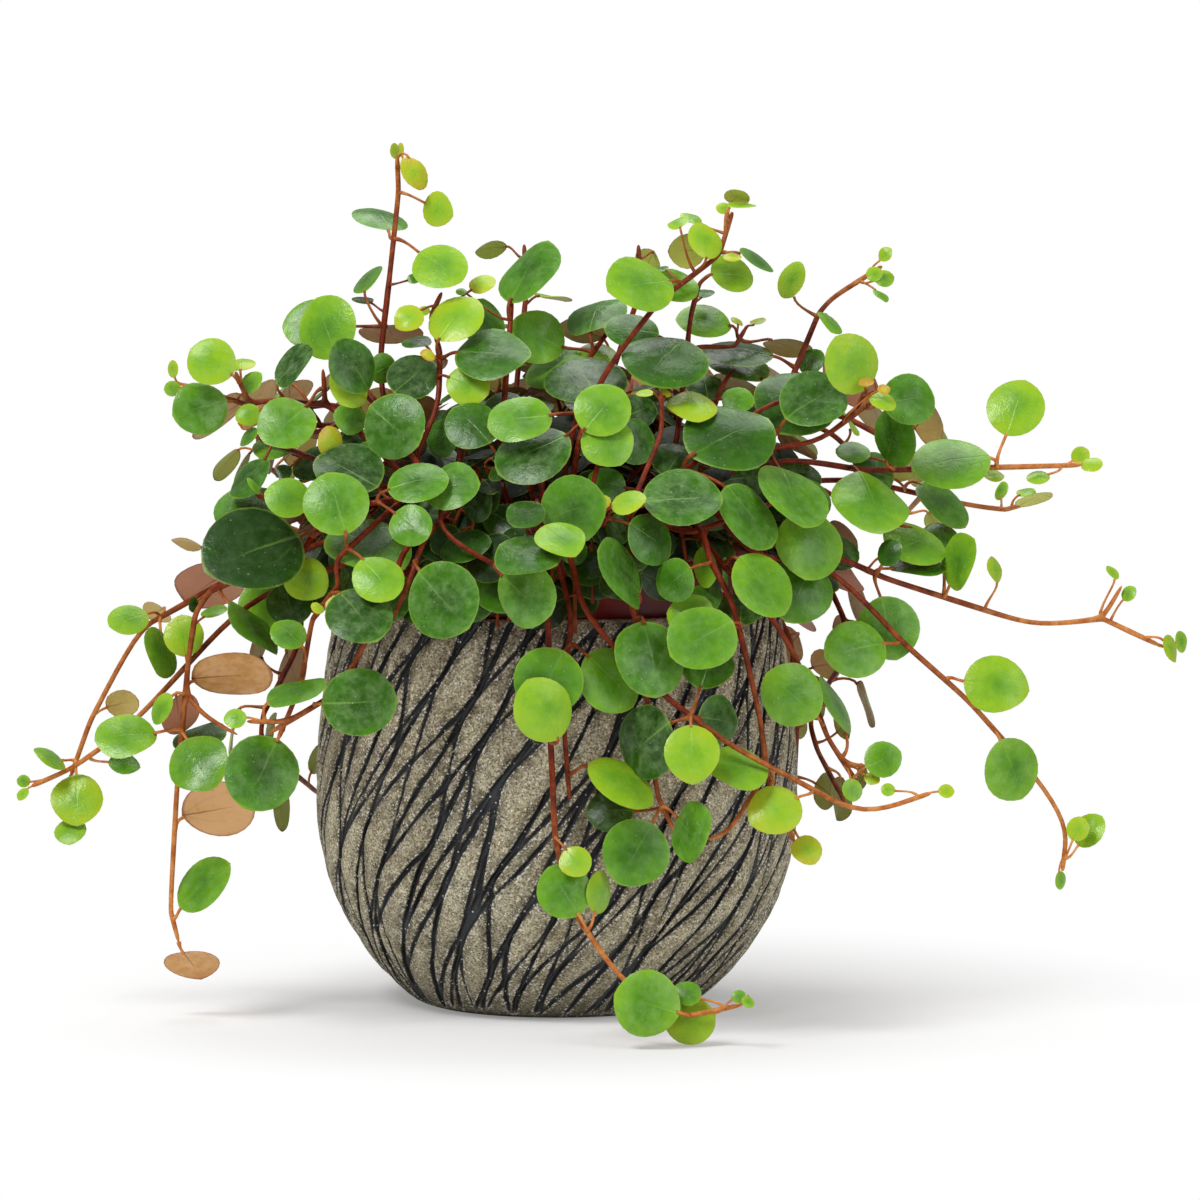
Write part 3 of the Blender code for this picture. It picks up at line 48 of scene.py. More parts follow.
# Outlines are (radius, height) in millimetres: the wall from base to rim, then the rim and the inside.
POT_OUTLINE = [(36, 0), (42, 0.6), (48, 4), (57.5, 14), (63, 22), (67.5, 29.5), (70.6, 37), (73, 45),
               (75, 56.5), (75.4, 68), (75, 82), (72.7, 103), (71, 116), (69.5, 125.2)]
POT_RIM = [(68.9, 125.9), (67.8, 126), (65.6, 126), (64.9, 125.4), (64.8, 120), (66, 100), (60, 20), (40, 6)]
POT_WIDEST = 75
POT_COLUMNS = 940
POT_ROWS = 86
SPAN_STEPS = 20
POT_WELD = 0.00003
# The main grooves' number, slant, wave and phase are those of the grooves in the frame's cover pot.
GROOVES = 34
GROOVE_START = 4              # mm up the wall
GROOVE_SLANT = 0.6            # round the widest part, for each step up
GROOVE_LEAN = GROOVE_SLANT / POT_WIDEST
GROOVE_WAVE = 1.5             # mm
GROOVE_WAVE_RATE = 0.055
GROOVE_PHASE = 2.4
GROOVE_DEPTH = 1.2            # mm
GROOVE_SIDE = (-0.7, 0.35)    # mm from a groove's edge, from its floor to the field beside it
CROSS_SWING = 0.98            # under 1, which rounds the turns of a crossing groove
CROSS_REACH = 0.53            # over 0.5, so that it follows a main groove for a while
CROSS_PACE = (62, 90)         # mm up the wall from one turn to the next
SECOND_PACE = (100, 140)
CROSS_TURNS = 9               # turns of the phase, once round the pot
SECOND_TURNS = 14
FIELD_SWELL = 0.5             # mm
FIELD_GRAIN = 0.15            # mm
FAR_AWAY = 99.0
PROBE = 0.5                   # mm up the wall, to measure a line's slope


def even_line(points, count):
    """A smooth line through the points, as count points at even distances along it."""
    points = np.array(points, float)
    rows = [2 * points[0] - points[1], *points, 2 * points[-1] - points[-2]]
    line = []
    for before, start, end, after in zip(rows, rows[1:], rows[2:], rows[3:]):
        linear = end - before
        square = 2 * before - 5 * start + 4 * end - after
        cubic = 3 * start - before - 3 * end + after
        for t in np.linspace(0, 1, SPAN_STEPS, endpoint=False):
            line.append(0.5 * (2 * start + linear * t + square * t**2 + cubic * t**3))
    line = np.array(line + [rows[-2]])
    along = np.concatenate(([0], np.cumsum(np.linalg.norm(np.diff(line, axis=0), axis=1))))
    even = np.linspace(0, along[-1], count)
    return np.column_stack([np.interp(even, along, line[:, k]) for k in range(line.shape[1])]), even


def soft_step(low, high, values):
    """The values' rise from low to high, eased, as 0 to 1."""
    t = np.clip((values - low) / (high - low), 0, 1)
    return t * t * (3 - 2 * t)


def main_line(index, run):
    """Where a main groove runs, in grooves round the pot, at a distance up the wall."""
    wave = GROOVE_WAVE / POT_WIDEST * GROOVES / TAU
    return index + wave * np.sin(GROOVE_WAVE_RATE * (run - GROOVE_START) + GROOVE_PHASE * (index % GROOVES))


def cross_line(index, run, pace, phase):
    """A groove that wanders from its main groove to the next one and back."""
    turn = CROSS_SWING * np.sin(TAU * run / pace[index % GROOVES] + phase[index % GROOVES])
    share = np.clip(0.5 + CROSS_REACH * np.arcsin(turn) / math.asin(CROSS_SWING), 0, 1)
    return main_line(index, run) * (1 - share) + main_line(index + 1, run) * share


def merged(first, second, blend=0.45):
    """The distance to the nearer of two lines, less where they run together, which widens them there."""
    together = np.exp(-np.abs(first - second) / blend - np.maximum(first, second) / 2)
    return np.minimum(first, second) - blend * together


def nearest_line(line, place, run, pitch, first, last):
    """The distance to the nearest of the lines around each place, measured square to the line."""
    best = np.full(len(place), FAR_AWAY)
    lean = GROOVE_SLANT * pitch * GROOVES / TAU / POT_WIDEST
    for step in range(first, last + 1):
        index = np.floor(place).astype(int) + step
        here = line(index, run)
        slope = (line(index, run + PROBE) - here) / PROBE * pitch + lean
        best = np.minimum(best, np.abs(place - here) * pitch / np.hypot(1, slope))
    return best


bpy.ops.object.select_all(action="DESELECT")
wall, wall_run = even_line(POT_OUTLINE, POT_ROWS)
outline = np.vstack([wall, POT_RIM])
bpy.ops.mesh.primitive_grid_add(x_subdivisions=POT_COLUMNS, y_subdivisions=len(outline) - 1, size=1)
pot = bpy.context.object
pot.name = "cover_pot_stoneware"
flat = np.array([v.co for v in pot.data.vertices])
row = np.rint((flat[:, 1] + 0.5) * (len(outline) - 1)).astype(int)
run = np.append(wall_run, [wall_run[-1]] * len(POT_RIM))[row]
angle = (flat[:, 0] + 0.5) * TAU + GROOVE_LEAN * run
radius, height = outline[row].T
ways = np.gradient(wall, axis=0)
ways /= np.linalg.norm(ways, axis=1)[:, None]
ways = np.vstack([ways, [(1, 0)] * len(POT_RIM)])[row]


def ripple(wavelets, stretch, shift=0, rise=0):
    """Smooth noise over the wall, between -1 and 1: more wavelets make it finer, stretch draws it upward."""
    return np.array([noise.noise((math.cos(a) * wavelets + shift, math.sin(a) * wavelets, s / stretch + rise))
                     for a, s in zip(angle, run)])


chance = random.Random(3)
pace, second_pace = (np.array([chance.uniform(*between) for _ in range(GROOVES)])
                     for between in (CROSS_PACE, SECOND_PACE))
phase, second_phase = (np.array([TAU * turns * k + chance.uniform(-0.5, 0.5) for k in range(GROOVES)])
                       for turns in (CROSS_TURNS / GROOVES, SECOND_TURNS / GROOVES))
sway, drift = ripple(4, 17), ripple(4, 17, shift=9)
fine = ripple(16, 4, rise=30)
pitch = TAU * radius / GROOVES
place = (angle - GROOVE_LEAN * (run - GROOVE_START)) / TAU * GROOVES + (0.8 * sway + 0.3 * fine) / pitch
main = nearest_line(main_line, place, run, pitch, -1, 2)
cross = nearest_line(lambda index, run: cross_line(index, run, pace, phase), place, run, pitch, -2, 2)
second = nearest_line(lambda index, run: cross_line(index, run, second_pace, second_phase),
                      place, run, pitch, -2, 2)
# Each line's half width in millimetres is taken off, so that the value is 0 at a groove's edge.
main -= 0.55 + 0.5 * drift + 0.2 * fine
cross -= 0.5 + 0.4 * sway + 0.2 * fine
second -= 0.35 + 0.5 * drift - 0.2 * fine
inset = merged(merged(main, cross), second) + 1.6 * (1 - soft_step(GROOVE_START, 15, run))
groove = 1 - soft_step(*GROOVE_SIDE, inset)
near_rim = soft_step(wall_run[-1] - 1.5, wall_run[-1], run)
on_wall = (row < POT_ROWS) * soft_step(GROOVE_START, 24, run) * (1 - 0.75 * near_rim)
lift = on_wall * (FIELD_SWELL * soft_step(0, 2.4, inset) + FIELD_GRAIN * fine - GROOVE_DEPTH * groove)
radius = radius + lift * ways[:, 1]
height = np.maximum(0, height - lift * ways[:, 0])
round_wall = np.column_stack([radius * np.sin(angle), -radius * np.cos(angle), height]) * MM
pot.data.vertices.foreach_set("co", round_wall.ravel())
layer = pot.data.attributes.new("inset", "FLOAT", "POINT")
layer.data.foreach_set("value", np.where(on_wall > 0.02, inset, 3).astype(np.float32))
bpy.ops.object.mode_set(mode="EDIT")
bpy.ops.mesh.select_all(action="SELECT")
bpy.ops.mesh.remove_doubles(threshold=POT_WELD)
bpy.ops.mesh.select_all(action="DESELECT")
bpy.ops.mesh.select_mode(type="EDGE")
bpy.ops.mesh.select_non_manifold()
bpy.ops.mesh.fill_holes(sides=0)
bpy.ops.mesh.select_all(action="SELECT")
bpy.ops.mesh.normals_make_consistent(inside=False)
bpy.ops.object.mode_set(mode="OBJECT")
bpy.ops.object.shade_smooth()


class Shade:
    """A value in a node tree, so that a material's maths is written as plain expressions."""

    def __init__(self, tree, socket=None):
        self.tree, self.socket = tree, socket

    def add(self, kind, settings=None, sockets=None, out=0):
        """A new node of a kind, with its settings and its sockets' values or links, as one of its outputs."""
        node = self.tree.nodes.new("ShaderNode" + kind)
        for name, value in (settings or {}).items():
            if name == "stops":
                node.color_ramp.elements.remove(node.color_ramp.elements[1])
                node.color_ramp.elements[0].position, node.color_ramp.elements[0].color = value[0]
                for position, tint in value[1:]:
                    node.color_ramp.elements.new(position).color = tint
            else:
                setattr(node, name, value)
        for name, value in (sockets or {}).items():
            if isinstance(value, Shade):
                self.tree.links.new(value.socket, node.inputs[name])
            else:
                node.inputs[name].default_value = value
        return Shade(self.tree, node.outputs[out]) if node.outputs else self

    def math(self, operation, first, second=0.0):
        return self.add("Math", {"operation": operation}, {0: first, 1: second})

    def __add__(self, other):
        return self.math("ADD", self, other)

    def __sub__(self, other):
        return self.math("SUBTRACT", self, other)

    def __rsub__(self, other):
        return self.math("SUBTRACT", other, self)

    def __mul__(self, other):
        return self.math("MULTIPLY", self, other)

    __radd__, __rmul__ = __add__, __mul__

    def larger(self, other):
        """The larger of this value and another."""
        return self.math("MAXIMUM", self, other)

    def step(self, low, high, start=0.0, end=1.0):
        """This value's rise from low to high, eased, as start to end."""
        return self.add("MapRange", {"interpolation_type": "SMOOTHSTEP"},
                        {0: self, 1: low, 2: high, 3: start, 4: end})

    def ramp(self, *stops):
        """The colour at this value on a ramp of stops, each a position and a colour."""
        return self.add("ValToRGB", {"stops": stops}, {"Fac": self})

    def mix(self, without, with_it, blend="MIX"):
        """Two colours, mixed by this value."""
        return self.add("Mix", {"data_type": "RGBA", "blend_type": blend},
                        {0: self, 6: without, 7: with_it}, out=2)


def paint_tree(name):
    """A new empty material and the start of its node tree."""
    material = bpy.data.materials.new(name)
    material.use_nodes = True
    material.node_tree.nodes.clear()
    return material, Shade(material.node_tree)


def colour(red, green, blue):
    """A colour as it looks, out of 255, turned into the light values that a shader takes."""
    linear = [c / 255 / 12.92 if c <= 10 else ((c / 255 + 0.055) / 1.055) ** 2.4 for c in (red, green, blue)]
    return (*linear, 1)


def grain(paint, place, scale, detail=2.0, roughness=0.5):
    """Cloudy noise about 0.5: scale is the number of clouds in a metre."""
    return paint.add("TexNoise", {}, {"Vector": place, "Scale": scale, "Detail": detail,
                                      "Roughness": roughness})


def crumbs(paint, place, scale):
    """Small cells, each with a value of its own."""
    cells = paint.add("TexVoronoi", {}, {"Vector": place, "Scale": scale}, out="Color")
    return paint.add("SeparateColor", {}, {"Color": cells}, out="Red")


def dots(paint, place, scale):
    """The distance to the nearest of many scattered dots, in cells."""
    return paint.add("TexVoronoi", {}, {"Vector": place, "Scale": scale})


def finish_paint(paint, face, roughness, height, strength, depth, specular=0.5):
    """Ends a material: its colour, its roughness, and bumps of a height, up to a depth in metres."""
    bump = paint.add("Bump", {}, {"Height": height, "Strength": strength, "Distance": depth})
    skin = paint.add("BsdfPrincipled", {}, {"Base Color": face, "Roughness": roughness,
                                            "Specular IOR Level": specular, "Normal": bump})
    paint.add("OutputMaterial", {}, {"Surface": skin})


stoneware, paint = paint_tree("gritty_stoneware")
place = paint.add("TexCoord", out="Object")
inset = paint.add("Attribute", {"attribute_name": "inset"}, out="Fac")
sand = grain(paint, place, 1800, 3, 0.7)
grit = crumbs(paint, place, 2100)
cloud = grain(paint, place, 45, 4, 0.6)
ragged = grain(paint, place, 800, 3, 0.7)
high = paint.add("SeparateXYZ", {}, {"Vector": place}, out="Z")

# The slip: pale grains and dark pits, with darker clouds.
slip = (0.5 * sand + 0.5 * grit).ramp(
    (0.16, colour(88, 82, 64)), (0.34, colour(148, 140, 113)), (0.5, colour(187, 179, 150)),
    (0.68, colour(213, 205, 177)), (0.8, colour(252, 249, 238)))
slip = cloud.step(0.35, 0.68, 0, 0.25).mix(slip, colour(96, 88, 72), "MULTIPLY")

# Ink that is smeared beside the grooves and dusted over the upper wall. The foot is darker: partly ink
# gathered there, partly painted shade where the pot meets the table.
smear_and_foot_shade = (1 - inset.step(0.1, 1.5)) * (0.4 + cloud.step(0.42, 0.62, 0, 0.4))
dusting = grain(paint, place, 150, 5, 0.7).step(0.42, 0.56) * (1 - inset.step(0.3, 4.5))
smear_and_foot_shade = smear_and_foot_shade.larger((0.3 + 0.9 * sand) * dusting * high.step(0.05, 0.115, 0.75, 1.05))
# Painted shade with gathered ink: darker toward the foot of the wall.
smear_and_foot_shade = smear_and_foot_shade.larger((1 - high.step(0.001, 0.02)) * (0.4 + 0.6 * sand))
slip = smear_and_foot_shade.mix(slip, colour(66, 62, 54), "MULTIPLY")

# Pale grains along the grooves' edges, partly a painted highlight where the rounded fields catch the light,
# and warm stains.
edge_grains_and_highlight = inset.step(0.15, 0.4) * (1 - inset.step(0.5, 1.3))
slip = (0.75 * edge_grains_and_highlight * grit.step(0.62, 0.85)).mix(slip, colour(242, 239, 230))
warm = grain(paint, place, 110, 3, 0.6).step(0.4, 0.65)
slip = (0.25 * warm).mix(slip, colour(186, 166, 128), "MULTIPLY")

# Charcoal ink in the grooves, worn here and there, and white chips over all of it.
ink = 1 - (inset + 0.9 * (ragged - 0.5) + 0.5 * (sand - 0.5)).step(0.0, 0.3)
charcoal = cloud.step(0.3, 0.7).mix(colour(27, 28, 31), colour(60, 62, 65))
worn = (grit * sand).step(0.5, 0.66) * 0.4
skin = (ink * (1 - worn)).mix(slip, charcoal)
chip = 1 - dots(paint, place, 520).step(0.1, 0.18)
skin = (chip * 0.8).mix(skin, colour(246, 243, 234))
rough_wall = (1 - ink) * (0.7 * sand + 0.5 * grit) + inset.step(-0.7, 0.3, 0, 2.4)
finish_paint(paint, skin, ink.step(0, 1, 0.9, 0.5), rough_wall, 0.8, 0.0005, specular=0.3)
pot.data.materials.append(stoneware)
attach(pot, "root")
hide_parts("cover_pot")

# ---------------------------------------------------------------- nursery pot
# The thin red-brown plastic grower's pot that the plant is sold in. It is blow moulded, with a rolled lip,
# stands inside the cover pot and shows as a band above its rim.
TUB_SIDES = 96
TUB_OUTLINE = [(38, 28), (52.6, 28), (53.9, 29), (65.9, 142.6), (66.6, 142.9), (67, 143.6), (67, 147.3),
               (66.6, 147.9), (65.9, 148), (65.4, 147.5), (64.7, 142), (52.8, 29.4), (38, 29.4),
               (6, 29.4), (6, 28)]
SHARP_EDGE = 40


def turned(name, outline, sides, closed):
    """A turned body: a circle, extruded and resized from one point of its outline to the next. A closed
    body has flat ends."""
    bpy.ops.object.select_all(action="DESELECT")
    bpy.ops.mesh.primitive_circle_add(vertices=sides, radius=outline[0][0] * MM, fill_type="NOTHING",
                                      location=(0, 0, outline[0][1] * MM))
    body = bpy.context.object
    body.name = name
    bpy.ops.object.transform_apply(location=True)
    bpy.ops.object.mode_set(mode="EDIT")
    bpy.ops.mesh.select_all(action="SELECT")
    for (radius, height), (next_radius, next_height) in zip(outline, outline[1:]):
        rise = (next_height - height) * MM
        bpy.ops.mesh.extrude_region_move(TRANSFORM_OT_translate={"value": (0, 0, rise)})
        share = next_radius / radius
        bpy.ops.transform.resize(value=(share, share, 1), center_override=(0, 0, 0))
    if closed:
        bpy.ops.mesh.edge_face_add()
        bpy.ops.mesh.select_all(action="DESELECT")
        bpy.ops.mesh.select_non_manifold()
        bpy.ops.mesh.edge_face_add()
    bpy.ops.mesh.select_all(action="SELECT")
    bpy.ops.mesh.normals_make_consistent(inside=False)
    bpy.ops.object.mode_set(mode="OBJECT")
    bpy.ops.object.shade_smooth_by_angle(angle=math.radians(SHARP_EDGE))
    return body


tub = turned("nursery_pot_shell", TUB_OUTLINE, TUB_SIDES, False)
bpy.ops.object.mode_set(mode="EDIT")
bpy.ops.mesh.select_all(action="DESELECT")
bpy.ops.mesh.select_non_manifold()
bpy.ops.mesh.bridge_edge_loops()
bpy.ops.mesh.select_all(action="SELECT")
bpy.ops.mesh.normals_make_consistent(inside=False)
bpy.ops.object.mode_set(mode="OBJECT")

plastic, paint = paint_tree("red_brown_plastic")
place = paint.add("TexCoord", out="Object")
dust = grain(paint, place, 60, 5, 0.65)
scuff = grain(paint, place, 700, 3)
shell = dust.step(0.35, 0.7).mix(colour(100, 14, 12), colour(130, 34, 26))
finish_paint(paint, shell, dust.step(0.3, 0.7, 0.28, 0.45), scuff, 0.15, 0.0003, specular=0.3)
tub.data.materials.append(plastic)
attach(tub, "root")
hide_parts("nursery_pot")

# ----------------------------------------------------------------------- soil
# Dark peat compost with bark crumbs and a few pale grains, which fills the nursery pot to 8 mm under its lip.
# Its top is rough, a little lower than the soil of the frame, and even at the edge.
SOIL_SIDES = 72
SOIL_RINGS = 22
SOIL_EDGE = 64.1
SOIL_TOP = 139.6
SOIL_WALL = [(52.4, 29.7), (63.9, 137), (SOIL_EDGE, 139.4)]
SOIL_ROUGH = 0.0012
SOIL_SINK = 0.0006
EVEN_EDGE = 0.003
soil_top = [(SOIL_EDGE * (1 - k / SOIL_RINGS), SOIL_TOP) for k in range(1, SOIL_RINGS)]
soil = turned("compost", SOIL_WALL + soil_top, SOIL_SIDES, True)
for v in soil.data.vertices:
    if v.co.z > 0.139:
        rough = noise.noise(v.co * 90) + 0.7 * noise.noise(v.co * 240) + 0.5 * noise.noise(v.co * 520)
        v.co.z += (SOIL_ROUGH * rough - SOIL_SINK) * min(1, (SOIL_EDGE * MM - v.co.xy.length) / EVEN_EDGE)
compost, paint = paint_tree("peat_compost")
place = paint.add("TexCoord", out="Object")
crumb = crumbs(paint, place, 420)
fibre = grain(paint, place, 900, 4, 0.7)
earth = (0.6 * crumb + 0.4 * fibre).ramp(
    (0.1, colour(20, 14, 10)), (0.5, colour(52, 36, 26)), (0.78, colour(84, 58, 40)),
    (0.86, colour(190, 180, 162)))
finish_paint(paint, earth, fibre.step(0.2, 0.8, 0.75, 1.0), crumb + fibre, 0.8, 0.0012)
soil.data.materials.append(compost)
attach(soil, "root")
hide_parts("soil")

# --------------------------------------------------------------------- leaves
# A waxy, slightly fleshy round leaf: domed above, hollow below, with a thin pale edge that is partly
# a painted highlight. One broad leaf and one small leaf are modelled, one unit long from stalk to tip, and
# every leaf of the plant is a copy of one.
LEAF_WIDTH = 0.965
LEAF_DOME = 0.065
LEAF_THICK = 0.03
LEAF_RIM = 0.075
LEAF_POINT, POINT_WIDTH = 0.016, 0.09
SET_DOWN = 0.05
LEAF_WELD = 0.0005
LEAF_EDGE = 100
UPPER_MIDDLE, LOWER_MIDDLE = 0.5, 2.5    # on the UV map
BROAD_FROM = 0.0125                      # leaves longer than this, in metres, are broad


def model_leaf(name, points):
    """One closed leaf about its middle: along +Y from stalk to tip, its upper face up. Its underside is a
    copy, set down while both are shaped. On the UV map it lies two units to the right of the upper face."""
    bpy.ops.object.select_all(action="DESELECT")
    bpy.ops.mesh.primitive_circle_add(vertices=points, radius=0.5, fill_type="NGON")
    leaf = bpy.context.object
    leaf.name = name
    bpy.ops.object.mode_set(mode="EDIT")
    bpy.ops.mesh.select_all(action="SELECT")
    bpy.ops.mesh.inset(thickness=LEAF_RIM, depth=0)
    bpy.ops.mesh.poke()
    bpy.ops.mesh.tris_convert_to_quads(face_threshold=math.pi, shape_threshold=math.pi)
    bpy.ops.mesh.select_all(action="SELECT")
    bpy.ops.mesh.duplicate()
    bpy.ops.transform.translate(value=(0, 0, -SET_DOWN))
    bpy.ops.mesh.flip_normals()
    bpy.ops.object.mode_set(mode="OBJECT")
    for v in leaf.data.vertices:
        spread = v.co.xy.length / 0.5
        tip = max(0, v.co.y) * 2
        point = LEAF_POINT * math.exp(-((v.co.x / POINT_WIDTH) ** 2)) * spread
        dome = LEAF_DOME - (LEAF_THICK if v.co.z < -SET_DOWN / 2 else 0)
        v.co.z = dome * max(0, 1 - spread ** 3)
        v.co.x *= LEAF_WIDTH * (1 - 0.05 * tip ** 2 + 0.02 * spread * (1 - tip))
        v.co.y += math.copysign(point, v.co.y)
    for layer in list(leaf.data.uv_layers):
        leaf.data.uv_layers.remove(layer)
    uv = leaf.data.uv_layers.new(name="leaf")
    for face in leaf.data.polygons:
        middle = UPPER_MIDDLE if face.normal.z > 0 else LOWER_MIDDLE
        for corner in face.loop_indices:
            spot = leaf.data.vertices[leaf.data.loops[corner].vertex_index].co
            uv.data[corner].uv = (spot.x + middle, spot.y + 0.5)
    bpy.ops.object.mode_set(mode="EDIT")
    bpy.ops.mesh.select_all(action="SELECT")
    bpy.ops.mesh.remove_doubles(threshold=LEAF_WELD)
    bpy.ops.object.mode_set(mode="OBJECT")
    bpy.ops.object.shade_smooth_by_angle(angle=math.radians(LEAF_EDGE))
    return leaf


broad_leaf = model_leaf("broad_leaf", 24)
small_leaf = model_leaf("small_leaf", 16)

waxy, paint = paint_tree("waxy_leaf")
place = paint.add("TexCoord", out="Object")
chart = paint.add("SeparateXYZ", {}, {"Vector": paint.add("UVMap", {"uv_map": "leaf"})}, out="X")
below = paint.math("GREATER_THAN", chart, (UPPER_MIDDLE + LOWER_MIDDLE) / 2)
across = chart - UPPER_MIDDLE - (LOWER_MIDDLE - UPPER_MIDDLE) * below
along = Shade(paint.tree, chart.socket.node.outputs["Y"])
spread = paint.math("SQRT", (across * across + (along - 0.5) * (along - 0.5)) * 4)
age = paint.add("Attribute", {"attribute_name": "age"}, out="Fac")
tone = paint.add("Attribute", {"attribute_name": "tone"}, out="Fac")
blotch = grain(paint, place, 130, 4, 0.6)
mottle = grain(paint, place, 420, 3, 0.6)
pebble = grain(paint, place, 1100, 3, 0.6)

# The veins: a midrib that fades toward the tip, and one curved vein on each side of it.
bent = paint.math("ABSOLUTE", across + 0.05 * (blotch - 0.5))
midrib = (1 - (bent + 0.012 * along).step(0.003, 0.026)) * (1 - along.step(0.3, 0.9))
bow = paint.math("SINE", along * math.pi) * 0.22
side_vein = (1 - paint.math("ABSOLUTE", bent - bow).step(0.0, 0.03)) * (1 - along.step(0.2, 0.7))
veins = midrib.larger(0.2 * side_vein)

# The upper face, from a copper bud over lime to dark green. Painted shade makes leaves deep in the plant
# nearly black.
uneven = 0.34 * (blotch - 0.5) + 0.14 * (mottle - 0.5) + 0.2 * (0.7 - spread)
stage_of_life = age + 0.2 * (tone - 0.5) + uneven
green = stage_of_life.ramp(
    (0.0, colour(186, 140, 46)), (0.06, colour(186, 176, 40)), (0.2, colour(162, 186, 34)),
    (0.34, colour(136, 180, 32)), (0.46, colour(108, 160, 30)), (0.58, colour(82, 136, 24)),
    (0.7, colour(58, 109, 14)), (0.82, colour(40, 82, 8)), (1.0, colour(25, 57, 7)))
# Painted shade: an age past 1 marks a leaf deep in the plant and darkens it toward black.
painted_deep_shade = (age - 1).step(0, 0.16)
green = (0.85 * painted_deep_shade).mix(green, colour(7, 14, 3))
# Pale waxy bloom in patches on middle-aged leaves, which also stands as a painted sheen of reflected light.
bloom_and_sheen_share = age.step(0.25, 0.7, 0.16, 0.24) - age.step(0.85, 1, 0, 0.17)
bloom_and_sheen = grain(paint, place, 300, 5, 0.64).step(0.34, 0.78) * bloom_and_sheen_share * (0.35 + tone)
green = bloom_and_sheen.mix(green, colour(156, 192, 128))
green = ((0.1 + 0.32 * tone) * veins).mix(green, colour(132, 176, 66))
# A thin pale margin: partly the leaf's own colour, partly a painted highlight along its edge.
green = (spread.step(0.93, 0.985) * 0.4).mix(green, colour(146, 172, 60))
pores = (1 - dots(paint, place, 650).step(0.1, 0.2)) * mottle.step(0.54, 0.62) * 0.3
green = pores.mix(green, colour(200, 214, 170))

# The underside: pale green when young, then tan, some with a pink flush, with brown veins and edge.
ripe = (blotch + 0.7 * mottle + 0.6 * tone - 0.65).step(0.2, 0.75)
tan = ripe.mix(colour(222, 172, 122), colour(196, 142, 58))
flush = 0.85 * (tone + 0.6 * blotch + 0.3 * mottle).step(0.85, 1.25)
tan = flush.mix(tan, colour(212, 142, 122))
pale = age.step(0.25, 0.6).mix(colour(180, 192, 80), tan)
pale = (0.75 * veins).mix(pale, colour(132, 76, 48))
pale = (spread.step(0.9, 0.98) * 0.6).mix(pale, colour(130, 62, 44))

gloss = (blotch + 0.5 * mottle).step(0.4, 1.0, 0.15, 0.34) + 0.3 * painted_deep_shade
relief = 0.7 * blotch + 0.25 * mottle + 0.09 * pebble - 0.14 * veins
finish_paint(paint, below.mix(green, pale), 0.25 * below + gloss, relief, 0.5, 0.001, specular=0.25)


def mark_leaf(leaf, age, tone):
    """Writes a leaf's age and tone over the whole of its mesh. Age is 0 for a bud, 1 for an old leaf, and
    more for a leaf deep in the plant, which darkens it as painted shade; tone is a leaf's own tint, from 0 to
    1."""
    for name, value in (("age", age), ("tone", tone)):
        layer = leaf.data.attributes.new(name, "FLOAT", "POINT")
        layer.data.foreach_set("value", [value] * len(leaf.data.vertices))


def place_leaf(middle, side, out, up, length, age, chance):
    """A copy of a modelled leaf, bent a little in its own way, set at its place on the plant."""
    leaf = (broad_leaf if length > BROAD_FROM else small_leaf).copy()
    leaf.data = leaf.data.copy()
    bpy.context.collection.objects.link(leaf)
    fold = chance.uniform(-0.06, 0.16)
    cup = chance.uniform(-0.14, 0.12)
    twist = chance.uniform(-0.16, 0.16)
    ovate = chance.uniform(-0.16, 0.16)
    broad = chance.uniform(0.93, 1.03)
    curl = chance.uniform(-0.14, 0.08)
    wave, crest = chance.uniform(0, 0.035), chance.uniform(0, TAU)
    for v in leaf.data.vertices:
        x, y, z = v.co
        spread = 2 * math.hypot(x, y)
        spin = math.atan2(y, x)
        z += fold * abs(x) + cup * (x * x + y * y) + twist * x * y + curl * y * abs(y)
        z += wave * spread ** 3 * math.sin(3 * spin + crest)
        uneven = 1 + 0.6 * wave * spread * math.cos(2 * spin + crest)
        v.co = (x * broad * (1 - ovate * y) * uneven, y, z)
    turn = Matrix((side * length, out * length, up * length)).transposed().to_4x4()
    turn.translation = middle
    leaf.data.transform(turn)
    mark_leaf(leaf, age, chance.random())
    return leaf


def join_pieces(parts, name):
    """Joins parts into one piece with its object at the origin."""
    bpy.ops.object.select_all(action="DESELECT")
    for part in parts:
        part.select_set(True)
    bpy.context.view_layer.objects.active = parts[0]
    if len(parts) > 1:
        bpy.ops.object.join()
    parts[0].name = name
    return parts[0]


# --------------------------------------------------------------------- shoots
# Each shoot is one living stem with its side shoots and leaf stalks, rooted in the compost. Its stem is
# rounded from the solid shoot of the frame, and a modelled leaf on a new stalk takes the place of each blade.
# A blade of the frame: the corners of its outline, the angle beside its stalk in degrees, its length and
# width for each unit of size, and its thickness in millimetres, which grows with its age from 0 to OLDEST.
RIM_POINTS = (5, 6, 7)
RIM_OPENING = 6
BLADE_LONGER = 1.03
BLADE_NARROWER = 0.97
BLADE_BUD = 0.7
BLADE_PER_AGE = 0.09
OLDEST = 9
# How far a vertex may lie from where a blade would have it.
BLADE_LIMIT = 0.04 * MM
THICKEST_BLADE = 2 * MM
NO_RISE = 1e-5
OVAL_LIMIT = 0.02
OFF_PLANE = 0.0003
# A square stem shrinks when it is rounded, so it is swelled first.
STEM_SWELL = 0.00026
STEM_WELD = 0.00001
STOUT, SLIM = 1.15 * MM, 0.4 * MM
STALK_ROOT = 0.0006
STALK_YOUTH = 0.85
STALK_END = 0.46
STALK_FLARE = [1.7, 1.45, 1.15, 1, 1, 1.05, 1.15]


